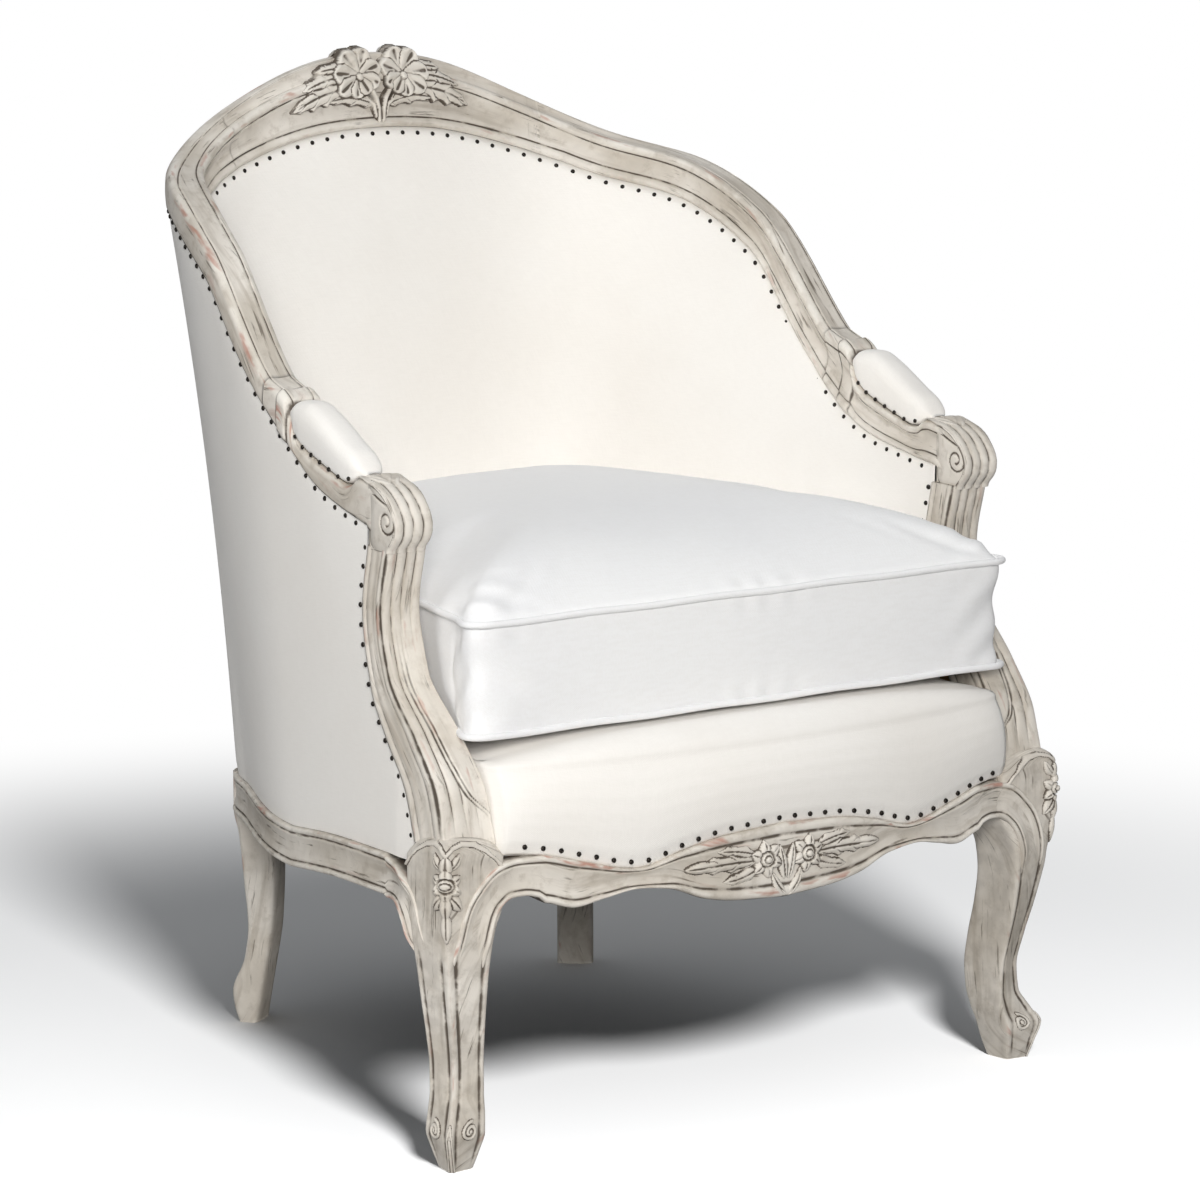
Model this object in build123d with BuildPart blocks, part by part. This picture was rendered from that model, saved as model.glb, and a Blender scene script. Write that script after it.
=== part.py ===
from build123d import *
import os
from math import asin, atan2, cos, degrees, hypot, radians, sin, sqrt

os.makedirs("parts", exist_ok=True)

# Driving dimensions in millimetres. The chair faces -Y and stands on z = 0.

# Plan of the top rail, followed along its inner top edge
rail_half_width = 318.0
rail_back_y = 356.0
arm_joint_y = 15.0
side_squareness = 4.17
back_squareness = 2.16

# Heights of that edge: crest, brow, shoulder, side, fall and the joint with the arm
crest_z = 963.0
brow_z = 924.0
shoulder_z = 887.0
side_z = 866.0
fall_z = 819.0
arm_joint_z = 705.0

# Moulded section of the top rail
rail_thickness = 38.0
rail_face = 39.0
crest_extra_face = 18.0
crest_rise = 18.0
rail_outer_face = 28.0
arm_outer_face = 18.0
bead_height = 9.0
ridge_bead = 7.0
cove_depth = 5.0
rebate = 12.2
crest_joint_at = 0.19

# Seat frame
seat_frame_z = 302.0
flare_back = 41.0
flare_corner = 70.0
flare_arm = 26.0
flare_front_y = -205.0
corner_y = 240.0
seat_rail_thickness = 34.0
side_rail_height = 40.0
side_rail_step = 40.0
front_rail_y = -333.0
front_bow = 36.0
apron_drop = 80.0

# Rear legs, set square to the tub's plan
rear_leg_at = 0.31
rear_leg_width = 38.0
rear_leg_depth = 42.0
rear_foot = -30.6
post_thickness = 18.5
post_top_thickness = 13.5
post_gap = 4.0

# Front legs and arm supports
foot_outset = 16.0
foot_y = -270.0
leg_block_side = 68.0
leg_block_height = 53.0
leg_block_inset = 5.0
support_foot = 3.0
support_rear_y = -163.0
support_toe = 126.0

# Arms
arm_fall = 119.0
scroll_neck = 16.0
scroll_radius = 28.0
scroll_y = -184.0
scroll_width = 50.0
pad_rear_y = -24.0
pad_length = 117.0
pad_half_width = 18.0
arm_rebate = 15.7

# Upholstery
fabric_gap = 0.4
seam_gap = 1.0
strap_gap = 0.9
panel_thickness = 10.0
back_pad_depth = 36.0
back_bulge = 12.0
tack_rail_z = 340.0
tack_rail_height = 35.0
tack_rail_thickness = 20.0
deck_height = 92.0
roll_bulge = 7.0
cushion_boxing = 104.0
cushion_crown = 66.0
cushion_ear_inset = 38.0
cushion_setback = 55.0
cushion_gap = 3.0
cushion_rest = 0.8
web_width = 50.0
web_thickness = 1.5
cloth_thickness = 1.0

# Fastenings
dowel_diameter = 8.0
dowel_length = 40.0
hole_play = 0.3
screw_diameter = 4.5
screw_length = 46.0
screw_head_diameter = 9.0
screw_head_height = 3.0
block_height = 40.0

# Places that follow from those sizes
foot_x = rail_half_width + foot_outset
arm_x = rail_half_width
arm_mid_x = rail_half_width + rail_thickness / 2
arm_under_z = arm_joint_z - arm_fall
support_base_z = seat_frame_z + support_foot
support_top_z = arm_under_z - scroll_neck
support_rise = support_top_z - support_base_z
cushion_half_width = rail_half_width + rail_thickness - cushion_ear_inset

# Middle of the chair's overall depth, which goes over the origin
middle_y = (rail_back_y + rail_thickness + front_rail_y - roll_bulge) / 2


def smooth(points, at):
    """Value at one place on a smooth line through a few (place, value) points, level past its ends."""
    points = sorted(points)
    if at <= points[0][0]:
        return points[0][1]
    if at >= points[-1][0]:
        return points[-1][1]
    gaps = [b[0] - a[0] for a, b in zip(points, points[1:])]
    slopes = [(b[1] - a[1]) / g for a, b, g in zip(points, points[1:], gaps)]
    tangents = [slopes[0]]
    for before, after in zip(slopes, slopes[1:]):
        tangents.append(2 * before * after / (before + after) if before * after > 0 else 0)
    tangents.append(slopes[-1])
    i = next(k for k in range(len(gaps)) if at <= points[k + 1][0])
    t = (at - points[i][0]) / gaps[i]
    rise = points[i + 1][1] - points[i][1]
    lead_in = t * (1 - t) ** 2 * tangents[i] * gaps[i]
    lead_out = t * t * (1 - t) * tangents[i + 1] * gaps[i]
    return points[i][1] + rise * t * t * (3 - 2 * t) + lead_in - lead_out


def between(start, end, count):
    """Evenly spread places, both ends included."""
    return [start + (end - start) * i / (count - 1) for i in range(count)]


def both_ways(stations):
    """The same stations on both sides of the middle of the back."""
    return [-u for u in reversed(stations)] + [0] + stations


def save(piece, name):
    """Label a finished piece, centre the chair over the origin and write it."""
    placed = piece.part.moved(Location((0, -middle_y, 0)))
    placed.label = name
    export_step(placed, f"parts/{name}.step")


def save_pair(right_piece, name):
    """Write a right-hand piece and its mirror image on the left."""
    save(right_piece, name + "_right")
    with BuildPart() as left_piece:
        mirror(right_piece.part, about=Plane.YZ)
    save(left_piece, name + "_left")


# Stations along the tub: u = 0 is the middle of the back, u = 1 the joint with the arm,
# and each 1 beyond that is one step further forward along the straight arm.
arm_step = 100.0


def at_y(y):
    """Station on the straight arm at one depth."""
    return 1 + (arm_joint_y - y) / arm_step


def plan(u):
    """Plan point of the rail's inner top edge at a station, and its outward normal."""
    side = 1 if u >= 0 else -1
    reach = abs(u)
    if reach >= 1:
        return (side * rail_half_width, arm_joint_y - arm_step * (reach - 1)), (side, 0)
    across = sin(radians(90 * reach)) ** (2 / side_squareness)
    along = cos(radians(90 * reach)) ** (2 / back_squareness)
    depth = rail_back_y - arm_joint_y
    nx = side_squareness * across ** (side_squareness - 1) / rail_half_width
    ny = back_squareness * along ** (back_squareness - 1) / depth
    size = hypot(nx, ny)
    return (side * rail_half_width * across, arm_joint_y + depth * along), (side * nx / size, ny / size)


def station(u):
    """Upright plane across the tub: its x points outward and its y up."""
    (x, y), (nx, ny) = plan(u)
    return Plane(origin=(x, y, 0), x_dir=(nx, ny, 0), z_dir=(ny, -nx, 0))


def place(u, outset):
    """Plan point at a station, outset from the rail's inner top edge."""
    (x, y), (nx, ny) = plan(u)
    return (x + nx * outset, y + ny * outset)


ridge_points = [
    (0, crest_z),
    (0.17, brow_z),
    (0.39, shoulder_z),
    (0.61, side_z),
    (0.81, fall_z),
    (1, arm_joint_z),
]


def ridge_z(u):
    return smooth(ridge_points, abs(u))


def steepness(u):
    """How much longer an upright cut through the sloping rail is than a square one."""
    reach = min(max(abs(u), 0.03), 0.97)
    (xa, ya), _ = plan(reach - 0.02)
    (xb, yb), _ = plan(reach + 0.02)
    fall = (ridge_z(reach + 0.02) - ridge_z(reach - 0.02)) / hypot(xb - xa, yb - ya)
    return sqrt(1 + fall * fall)


def face_drop(u):
    """Height of the rail's face towards the sitter."""
    extra = smooth([(0, crest_extra_face), (0.15, crest_extra_face / 3), (0.28, 0)], abs(u))
    return rail_face * steepness(u) + extra


def outer_drop(u):
    """Lower edge of the rail's outer face, below its inner top edge."""
    return smooth([(0.7, rail_outer_face), (1, arm_outer_face)], abs(u)) * steepness(u)


# Lower edges of the arm from the support to the rail: towards the sitter and outside
def along_arm(share):
    """Depth at one share of the arm's length, from the support to the rail."""
    return support_rear_y + share * (arm_joint_y - support_rear_y)


arm_inside_points = [
    (support_rear_y, arm_under_z),
    (along_arm(0.29), arm_under_z + 9),
    (along_arm(0.58), arm_under_z + 20),
    (along_arm(0.81), arm_under_z + 38),
    (arm_joint_y, arm_joint_z - face_drop(1)),
]
arm_outside_points = [
    (support_rear_y, arm_under_z + 2),
    (along_arm(0.28), arm_under_z + 15),
    (along_arm(0.48), arm_under_z + 28),
    (along_arm(0.79), arm_under_z + 64),
    (arm_joint_y, arm_joint_z - outer_drop(1)),
]


def inside_edge(u):
    """Upper edge of the inside upholstery."""
    if abs(u) <= 1:
        return ridge_z(u) - face_drop(u)
    return smooth(arm_inside_points, plan(u)[0][1])


def outside_edge(u):
    """Upper edge of the outside upholstery."""
    if abs(u) <= 1:
        return ridge_z(u) - outer_drop(u)
    return smooth(arm_outside_points, plan(u)[0][1])


def flare(u):
    """How far the outside leans out from the seat frame up to the top rail."""
    points = [
        (flare_front_y, 0.5),
        (arm_joint_y, flare_arm),
        (corner_y, flare_corner),
        (rail_back_y, flare_back),
    ]
    return smooth(points, plan(u)[0][1])


def frame_face(u):
    """Outset of the seat frame's outer face."""
    return rail_thickness - flare(u)


def side_rail_top(u):
    """Upper show edge of the seat frame, falling towards the back."""
    points = [(0.4, 0), (1, 8), (2, 18), (3, 22)]
    return seat_frame_z - side_rail_step + smooth(points, abs(u))


def sag(u):
    """How hollow the outside is between the seat frame and the top rail."""
    return 0.08 * flare(u) + 0.6


def outside_lean(u, z):
    """Outset of the outside upholstery at one height."""
    low = side_rail_top(u)
    v = (z - low) / (outside_edge(u) - low)
    return frame_face(u) + flare(u) * v - 4 * sag(u) * v * (1 - v)


# Dowels at the crest's joints, as (outset, height) in the joint plane
dowel_outset = 14.0
crest_low = ridge_z(crest_joint_at) - face_drop(crest_joint_at)
crest_dowels = [(dowel_outset, crest_low + 11), (dowel_outset, crest_low + 27)]

# The dowel between rail and arm lies along the falling rail, and the one under the scroll stands upright
arm_slope = sqrt(steepness(1) ** 2 - 1)
arm_dowel = Plane(
    origin=(rail_half_width + dowel_outset, arm_joint_y, arm_joint_z - face_drop(1) / 2),
    z_dir=(0, 1, arm_slope),
)
scroll_dowel = Plane(origin=(arm_mid_x, scroll_y, support_top_z))


def dowel_spots(seat, spots=((0, 0),)):
    """Places for dowels that cross a joint at these spots in its plane."""
    return Locations(*[seat.location * Location((*spot, 0)) for spot in spots])


def dowel_holes(seat, spots=((0, 0),)):
    """Cut dowel holes through a joint, a little deeper than the dowels on both sides of it."""
    with dowel_spots(seat, spots):
        Cylinder((dowel_diameter + hole_play) / 2, dowel_length + 2 * hole_play, mode=Mode.SUBTRACT)


# Stations that the rails and the upholstery under them share
crest_stations = [0.004, 0.01, 0.02, 0.035, 0.055, 0.08, 0.11, 0.14, crest_joint_at]
shoulder_stations = [0.25, rear_leg_at]
fall_stations = [0.4, 0.5, 0.6, 0.68, 0.75, 0.81, 0.86, 0.9, 0.94, 0.97, 1]
arm_stations = [at_y(along_arm(share)) for share in between(0.9, 0, 10)]


def rail_section(u):
    """Moulded section of the top rail: bead, cove, ridge bead, hollow top and rounded outer edge."""
    k = steepness(u)
    z = ridge_z(u)
    low = z - face_drop(u)
    outer_low = z - outer_drop(u)
    rise = smooth([(0, crest_rise), (0.1, 0.7 * crest_rise), (0.3, 7), (0.6, 1.5), (1, 0)], abs(u))
    edge = smooth([(0, 10), (0.17, 12), (0.39, 20), (0.6, rail_thickness - 6)], abs(u))
    brink = z + rise - 9 * k
    cove_low = low + bead_height * k
    cove_high = z - ridge_bead * k
    back = rail_thickness - rebate
    back_low = outside_lean(u, low) - rebate
    with BuildSketch(station(u)) as section:
        with BuildLine():
            ThreePointArc((2, low), (-1.5, low + bead_height * k / 2), (1, cove_low))
            ThreePointArc((1, cove_low), (cove_depth, (cove_low + cove_high) / 2), (0, cove_high))
            ThreePointArc((0, cove_high), (1, z - 1.5), (6, z))
            ThreePointArc((6, z), ((6 + edge) / 2, z + rise / 2 - 1), (edge, z + rise))
            outer_mid = (0.35 * edge + 0.65 * rail_thickness, z + rise - 1.8 * k)
            ThreePointArc((edge, z + rise), outer_mid, (rail_thickness, brink))
            Polyline(
                (rail_thickness, brink),
                (rail_thickness, outer_low),
                (back, outer_low),
                (back_low, low),
                (2, low),
            )
        make_face()
    return section.sketch


# Top rail in three lengths: the crest between the shoulders, and a side length down to each arm
with BuildPart() as crest_rail:
    loft([rail_section(u) for u in both_ways(crest_stations)])
    for side in (1, -1):
        dowel_holes(station(side * crest_joint_at), crest_dowels)
save(crest_rail, "crest_rail")

with BuildPart() as top_rail:
    loft([rail_section(u) for u in [crest_joint_at] + shoulder_stations + fall_stations])
    dowel_holes(station(crest_joint_at), crest_dowels)
    dowel_holes(arm_dowel)
save_pair(top_rail, "top_rail")

# Arms: one length each, cut to a side outline with a scroll over the support
scroll_z = support_top_z + scroll_radius
pad_front_y = pad_rear_y - pad_length
pad_seat_points = [
    (pad_front_y, arm_under_z + 43),
    (pad_front_y + 8, arm_under_z + 37),
    (pad_front_y + 18, arm_under_z + 34.5),
    (pad_front_y + 41, arm_under_z + 40.5),
    (pad_front_y + 66, arm_under_z + 48.5),
    (pad_rear_y - 26, arm_under_z + 58),
    (pad_rear_y - 11, arm_under_z + 69),
    (pad_rear_y - 3, arm_under_z + 84),
]
arm_block_z = arm_joint_z - 19


def pad_seat(y):
    """Height of the arm's hollow that carries the pad."""
    return smooth(pad_seat_points, y)


with BuildPart() as arm:
    with BuildSketch(Plane.YZ.offset(arm_x)):
        with BuildLine():
            under = between(arm_joint_y, support_rear_y, 13)
            Spline(*[(y, smooth(arm_inside_points, y)) for y in under])
            Polyline(
                (support_rear_y, arm_under_z),
                (support_rear_y, support_top_z),
                (scroll_y - 12, support_top_z),
                (scroll_y - 12, scroll_z - scroll_radius * 0.9),
            )
            ThreePointArc(
                (scroll_y - 12, scroll_z - scroll_radius * 0.9),
                (scroll_y - scroll_radius, scroll_z),
                (scroll_y, scroll_z + scroll_radius),
            )
            Polyline(
                (scroll_y, scroll_z + scroll_radius),
                (pad_front_y - 9, arm_under_z + 42),
                pad_seat_points[0],
            )
            hollow = between(pad_front_y, pad_rear_y - 3, 19)
            Spline(*[(y, pad_seat(y)) for y in hollow])
            Polyline(
                pad_seat_points[-1],
                (pad_rear_y, arm_block_z),
                (arm_joint_y, arm_joint_z),
                (arm_joint_y, arm_inside_points[-1][1]),
            )
        make_face()
    extrude(amount=rail_thickness)
    with BuildSketch(Plane.YZ.offset(arm_mid_x - scroll_width / 2)):
        with Locations((scroll_y, scroll_z)):
            Circle(scroll_radius)
    extrude(amount=scroll_width)
    with BuildSketch(Plane.YZ.offset(arm_x + rail_thickness - arm_rebate)):
        with BuildLine():
            Spline(*[(y, smooth(arm_outside_points, y)) for y in under])
            Polyline(
                (support_rear_y, arm_outside_points[0][1]),
                (support_rear_y, arm_under_z - 30),
                (arm_joint_y, arm_under_z - 30),
                (arm_joint_y, arm_outside_points[-1][1]),
            )
        make_face()
    extrude(amount=arm_rebate, mode=Mode.SUBTRACT)
    dowel_holes(arm_dowel)
    dowel_holes(scroll_dowel)
save_pair(arm, "arm")

# Arm supports: an S-curved post with three reeds down its front
support_front_points = [
    (0, support_rear_y - support_toe),
    (0.18, support_rear_y - 0.91 * support_toe),
    (0.36, support_rear_y - 0.64 * support_toe),
    (0.55, support_rear_y - 0.30 * support_toe),
    (0.77, support_rear_y - 0.19 * support_toe),
    (1, support_rear_y - 0.29 * support_toe),
]
support_rear_points = [
    (0, support_rear_y - 74),
    (0.17, support_rear_y - 59),
    (0.34, support_rear_y - 27),
    (0.49, support_rear_y - 4),
    (0.77, support_rear_y + 10),
    (1, support_rear_y),
]
block_shift = leg_block_inset / sqrt(2)
leg_block_edge = foot_x - block_shift - leg_block_side / 2
leg_block_back = foot_y + block_shift + leg_block_side / 2


def support_inner_x(t):
    return smooth([(0, leg_block_edge + 4), (0.36, arm_x - 10), (0.55, arm_x - 4)], t)


def support_section(t):
    """Level section of the support, from its base at 0 to its top at 1."""
    front = smooth(support_front_points, t) + 4
    rear = smooth(support_rear_points, t)
    left = support_inner_x(t)
    right = arm_x + rail_thickness
    reed = (right - left) / 3
    with BuildSketch(Plane.XY.offset(support_base_z + t * support_rise)) as section:
        with BuildLine():
            for i in range(3):
                start = left + i * reed
                ThreePointArc((start, front), (start + reed / 2, front - 4), (start + reed, front))
            Polyline((right, front), (right, rear), (left, rear), (left, front))
        make_face()
    return section.sketch


support_steps = between(0, 1, 20)

with BuildPart() as arm_support:
    loft([support_section(t) for t in support_steps])
    dowel_holes(scroll_dowel)
save_pair(arm_support, "arm_support")


def before_support(gap):
    """Sketch of all that lies before the rear edges of the support and the leg block, seen from the side."""
    low = support_base_z - leg_block_height
    behind_leg = leg_block_back + gap
    edge = []
    for t in support_steps:
        edge.append((smooth(support_rear_points, t) + gap, support_base_z + max(gap, t * support_rise)))
    with BuildSketch(Plane.YZ) as region:
        with BuildLine():
            Spline(*edge)
            Polyline(
                edge[-1],
                (support_rear_y + gap, crest_z),
                (2 * front_rail_y, crest_z),
                (2 * front_rail_y, low),
                (behind_leg, low),
                (behind_leg, edge[0][1]),
                edge[0],
            )
        make_face()
    return region.sketch


# Front legs: cabriole legs set on the diagonal, each section a soft-cornered kite
leg_block_z = support_base_z - leg_block_height
block_reach = leg_block_side / sqrt(2)
block_outer = block_reach - leg_block_inset
block_inner = -block_reach - leg_block_inset
leg_profile = [
    # height, outer edge, inner edge, widest place, half width there, corner radius
    (0, 20.5, -22.5, 0, 17, 3),
    (17, 26, -29.5, 0, 23.5, 5),
    (36, 32.5, -35.5, 0, 29.5, 6),
    (52, 21.5, -41.5, -5, 28.5, 7),
    (70, 9, -46.5, -7, 27, 7),
    (95, 6.5, -48.5, -6, 27, 7),
    (125, 13, -45.5, -1, 29, 8),
    (160, 23.5, -39.5, 5, 32.5, 9),
    (192, 32, -36.5, 8, 36, 9),
    (leg_block_z - 36, 37.5, -39, 9, 40, 9),
    (leg_block_z - 20, 40.5, -44, 5, 43, 9),
    (leg_block_z - 9, 42, -50, -1, 46.5, 9),
    (leg_block_z, block_outer, block_inner, -leg_block_inset, block_reach, 9),
]
leg_axis = Plane(origin=(foot_x, foot_y, 0), x_dir=(1, -1, 0), z_dir=(0, 0, 1))


def leg_section(height, outer, inner, widest, half_width, corner):
    with BuildSketch(leg_axis.offset(height)) as section:
        with BuildLine():
            Polyline((outer, 0), (widest, half_width), (inner, 0), (widest, -half_width), close=True)
        make_face()
        fillet(section.vertices(), corner)
    return section.sketch


front_screw_z = (leg_block_z + support_base_z) / 2
front_screw = Plane(origin=(foot_x, foot_y, front_screw_z), z_dir=(1, -1, 0))
front_block_face = -block_reach - leg_block_inset - 12.5

with BuildPart() as front_leg:
    loft([leg_section(*row) for row in leg_profile])
    add(leg_section(*leg_profile[-1]))
    extrude(amount=leg_block_height)
    with BuildSketch(front_screw.offset(front_block_face)):
        Circle((screw_diameter + hole_play) / 2)
    extrude(amount=screw_length + hole_play, mode=Mode.SUBTRACT)
save_pair(front_leg, "front_leg")

# Front seat rail: bowed in plan, with a shaped apron and a serpentine upper edge
bow_half_width = foot_x - leg_block_side / 2


def front_face(x):
    """Depth of the front rail's face."""
    return front_rail_y + front_bow * (x / bow_half_width) ** 2


def front_rail_top(x):
    points = [(0, 8), (0.23, 12), (0.38, 20), (0.545, 32), (0.753, 19), (0.855, 11), (1, 4)]
    return seat_frame_z - smooth(points, abs(x) / leg_block_edge)


def front_rail_bottom(x):
    points = [
        (0, 0),
        (0.2, 4),
        (0.31, 10),
        (0.44, 24),
        (0.56, 28),
        (0.68, 22),
        (0.77, 17),
        (0.86, 24),
        (1, 31),
    ]
    return seat_frame_z - apron_drop + smooth(points, abs(x) / leg_block_edge)


def front_rail_section(x):
    face = front_face(x)
    top = front_rail_top(x)
    low = front_rail_bottom(x)
    with BuildSketch(Plane.YZ.offset(x)) as section:
        with BuildLine():
            ThreePointArc((face + 3, low), (face - 1.5, low + 3.5), (face, low + 8))
            ThreePointArc((face, low + 8), (face + 2.5, (low + top) / 2), (face, top - 4))
            ThreePointArc((face, top - 4), (face + 1, top - 1), (face + 4, top))
            Polyline(
                (face + 4, top),
                (face + rebate, top),
                (face + rebate, seat_frame_z),
                (face + seat_rail_thickness, seat_frame_z),
                (face + seat_rail_thickness, low + 4),
                (face + 3, low),
            )
        make_face()
    return section.sketch


apron_stations = between(-0.9 * leg_block_edge, 0.9 * leg_block_edge, 21)

with BuildPart() as front_seat_rail:
    loft([front_rail_section(x) for x in [-leg_block_edge] + apron_stations + [leg_block_edge]])
save(front_seat_rail, "front_seat_rail")


# Side and back seat rails, following the plan of the tub
def seat_rail_section(u):
    face = frame_face(u)
    top = side_rail_top(u)
    low = top - side_rail_height
    with BuildSketch(station(u)) as section:
        with BuildLine():
            ThreePointArc((face - 3, low), (face + 1.5, low + 3.5), (face, low + 8))
            ThreePointArc((face, low + 8), (face - 2.5, (low + top) / 2), (face, top - 4))
            ThreePointArc((face, top - 4), (face - 1, top - 1), (face - 4, top))
            Polyline(
                (face - 4, top),
                (face - rebate, top),
                (face - rebate, seat_frame_z),
                (face - seat_rail_thickness, seat_frame_z),
                (face - seat_rail_thickness, low + 4),
                (face - 3, low),
            )
        make_face()
    return section.sketch


leg_cut = rear_leg_width / 2
front_stations = [at_y(y) for y in between(support_rear_y, leg_block_back - 10, 5)[1:]]
side_stations = [rear_leg_at] + fall_stations + arm_stations
back_stations = both_ways(crest_stations + shoulder_stations)

with BuildPart() as side_seat_rail:
    loft([seat_rail_section(u) for u in side_stations + front_stations[:-1] + [at_y(leg_block_back)]])
    split(bisect_by=station(rear_leg_at).offset(leg_cut), keep=Keep.TOP)
save_pair(side_seat_rail, "side_seat_rail")

with BuildPart() as back_seat_rail:
    loft([seat_rail_section(u) for u in back_stations])
    split(bisect_by=station(rear_leg_at).offset(-leg_cut), keep=Keep.BOTTOM)
    split(bisect_by=station(-rear_leg_at).offset(leg_cut), keep=Keep.TOP)
save(back_seat_rail, "back_seat_rail")

# Rear legs: a splayed leg and the back post above it in one piece of wood
rear_face = frame_face(rear_leg_at)
rear_show_top = side_rail_top(rear_leg_at)
rear_show_low = rear_show_top - side_rail_height
rear_inner = rear_face - rear_leg_depth
post_top_z = inside_edge(rear_leg_at) + 15
post_outer = rear_face - rebate - post_gap
post_top_outer = rail_thickness - rebate - post_gap
post_mid_z = (seat_frame_z + post_top_z) / 2
post_lean = outside_lean(rear_leg_at, post_mid_z) - rebate - post_gap

rear_block_reach = 30.0
rear_screw = Plane(
    origin=(*place(rear_leg_at, rear_inner - rear_block_reach), front_screw_z),
    z_dir=(*plan(rear_leg_at)[1], 0),
)

with BuildPart() as rear_leg:
    with BuildSketch(station(rear_leg_at)):
        with BuildLine():
            Line((rear_foot - 9.5, 0), (rear_foot + 12, 0))
            Spline(
                (rear_foot + 12, 0),
                (rear_foot + 20, 31),
                (rear_foot + 5.7, 67),
                (rear_foot + 1.7, 100),
                (rear_foot + 6, 150),
                (rear_face, rear_show_low),
            )
            Polyline(
                (rear_face, rear_show_low),
                (rear_face, rear_show_top),
                (post_outer, rear_show_top),
                (post_outer, seat_frame_z),
            )
            ThreePointArc((post_outer, seat_frame_z), (post_lean, post_mid_z), (post_top_outer, post_top_z))
            Line((post_top_outer, post_top_z), (post_top_outer - post_top_thickness, post_top_z))
            ThreePointArc(
                (post_top_outer - post_top_thickness, post_top_z),
                (post_lean - (post_thickness + post_top_thickness) / 2, post_mid_z),
                (post_outer - post_thickness, seat_frame_z),
            )
            Polyline(
                (post_outer - post_thickness, seat_frame_z),
                (rear_inner, seat_frame_z),
                (rear_inner, rear_show_low),
            )
            Spline(
                (rear_inner, rear_show_low),
                (rear_foot - 30.5, 165),
                (rear_foot - 28, 111),
                (rear_foot - 18.5, 50),
                (rear_foot - 9.5, 0),
            )
        make_face()
    extrude(amount=rear_leg_width / 2, both=True)
    add(top_rail.part, mode=Mode.SUBTRACT)
    with BuildSketch(rear_screw):
        Circle((screw_diameter + hole_play) / 2)
    extrude(amount=screw_length + hole_play, mode=Mode.SUBTRACT)
save_pair(rear_leg, "rear_leg")

# Corner blocks behind the legs, each held by a screw into its leg
block_low_z = front_screw_z - block_height / 2
side_rail_inner_x = rail_half_width + frame_face(3) - seat_rail_thickness
block_tip = front_block_face * sqrt(2) + foot_x - foot_y
block_end_x = leg_block_edge - 57

with BuildPart() as front_block:
    with BuildSketch(Plane.XY.offset(block_low_z)):
        with BuildLine():
            Polyline(
                (block_end_x, front_face(block_end_x) + seat_rail_thickness + hole_play),
                (leg_block_edge - hole_play, front_face(leg_block_edge) + seat_rail_thickness + hole_play),
                (leg_block_edge - hole_play, leg_block_back + hole_play),
                (side_rail_inner_x - hole_play, leg_block_back + hole_play),
                (side_rail_inner_x - hole_play, side_rail_inner_x - hole_play - block_tip),
                (block_end_x, block_end_x - block_tip),
                close=True,
            )
        make_face()
    extrude(amount=block_height)
    with BuildSketch(front_screw.offset(front_block_face)):
        Circle((screw_diameter + hole_play) / 2)
    extrude(amount=screw_length, both=True, mode=Mode.SUBTRACT)
save_pair(front_block, "corner_block_front")

with BuildPart() as rear_block:
    with BuildSketch(Plane(origin=(*plan(rear_leg_at)[0], block_low_z), x_dir=(*plan(rear_leg_at)[1], 0))):
        with BuildLine():
            Polyline(
                (rear_inner, -leg_cut),
                (rear_inner, leg_cut),
                (rear_inner - rear_block_reach, leg_cut / 2),
                (rear_inner - rear_block_reach, -leg_cut / 2),
                close=True,
            )
        make_face()
    extrude(amount=block_height)
    with BuildSketch(rear_screw):
        Circle((screw_diameter + hole_play) / 2)
    extrude(amount=screw_length, mode=Mode.SUBTRACT)
save_pair(rear_block, "corner_block_rear")

with BuildPart() as corner_block_screws:
    for seat in (front_screw.offset(front_block_face), rear_screw):
        with BuildSketch(seat):
            Circle(screw_diameter / 2)
        extrude(amount=screw_length)
        with BuildSketch(seat):
            Circle(screw_head_diameter / 2)
        extrude(amount=-screw_head_height)
    mirror(about=Plane.YZ)
save(corner_block_screws, "corner_block_screws")

with BuildPart() as frame_dowels:
    with dowel_spots(station(crest_joint_at), crest_dowels):
        Cylinder(dowel_diameter / 2, dowel_length)
    for seat in (arm_dowel, scroll_dowel):
        with dowel_spots(seat):
            Cylinder(dowel_diameter / 2, dowel_length)
    mirror(about=Plane.YZ)
save(frame_dowels, "frame_dowels")


# Tacking rails between the posts and the arm supports, hidden in the upholstery
def tacking_section(u):
    low_face = outside_lean(u, tack_rail_z) - rebate - fabric_gap
    high_face = outside_lean(u, tack_rail_z + tack_rail_height) - rebate - fabric_gap
    with BuildSketch(station(u)) as section:
        with BuildLine():
            Polyline(
                (low_face, tack_rail_z),
                (high_face, tack_rail_z + tack_rail_height),
                (high_face - tack_rail_thickness, tack_rail_z + tack_rail_height),
                (low_face - tack_rail_thickness, tack_rail_z),
                close=True,
            )
        make_face()
    return section.sketch



with BuildPart() as tacking_rail_back:
    loft([tacking_section(u) for u in back_stations])
    split(bisect_by=station(rear_leg_at).offset(-leg_cut), keep=Keep.BOTTOM)
    split(bisect_by=station(-rear_leg_at).offset(leg_cut), keep=Keep.TOP)
save(tacking_rail_back, "tacking_rail_back")

with BuildPart() as tacking_rail:
    loft([tacking_section(u) for u in side_stations + front_stations])
    split(bisect_by=station(rear_leg_at).offset(leg_cut), keep=Keep.TOP)
    extrude(before_support(hole_play), amount=2 * rail_half_width, dir=(1, 0, 0), mode=Mode.SUBTRACT)
save_pair(tacking_rail, "tacking_rail")


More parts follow.
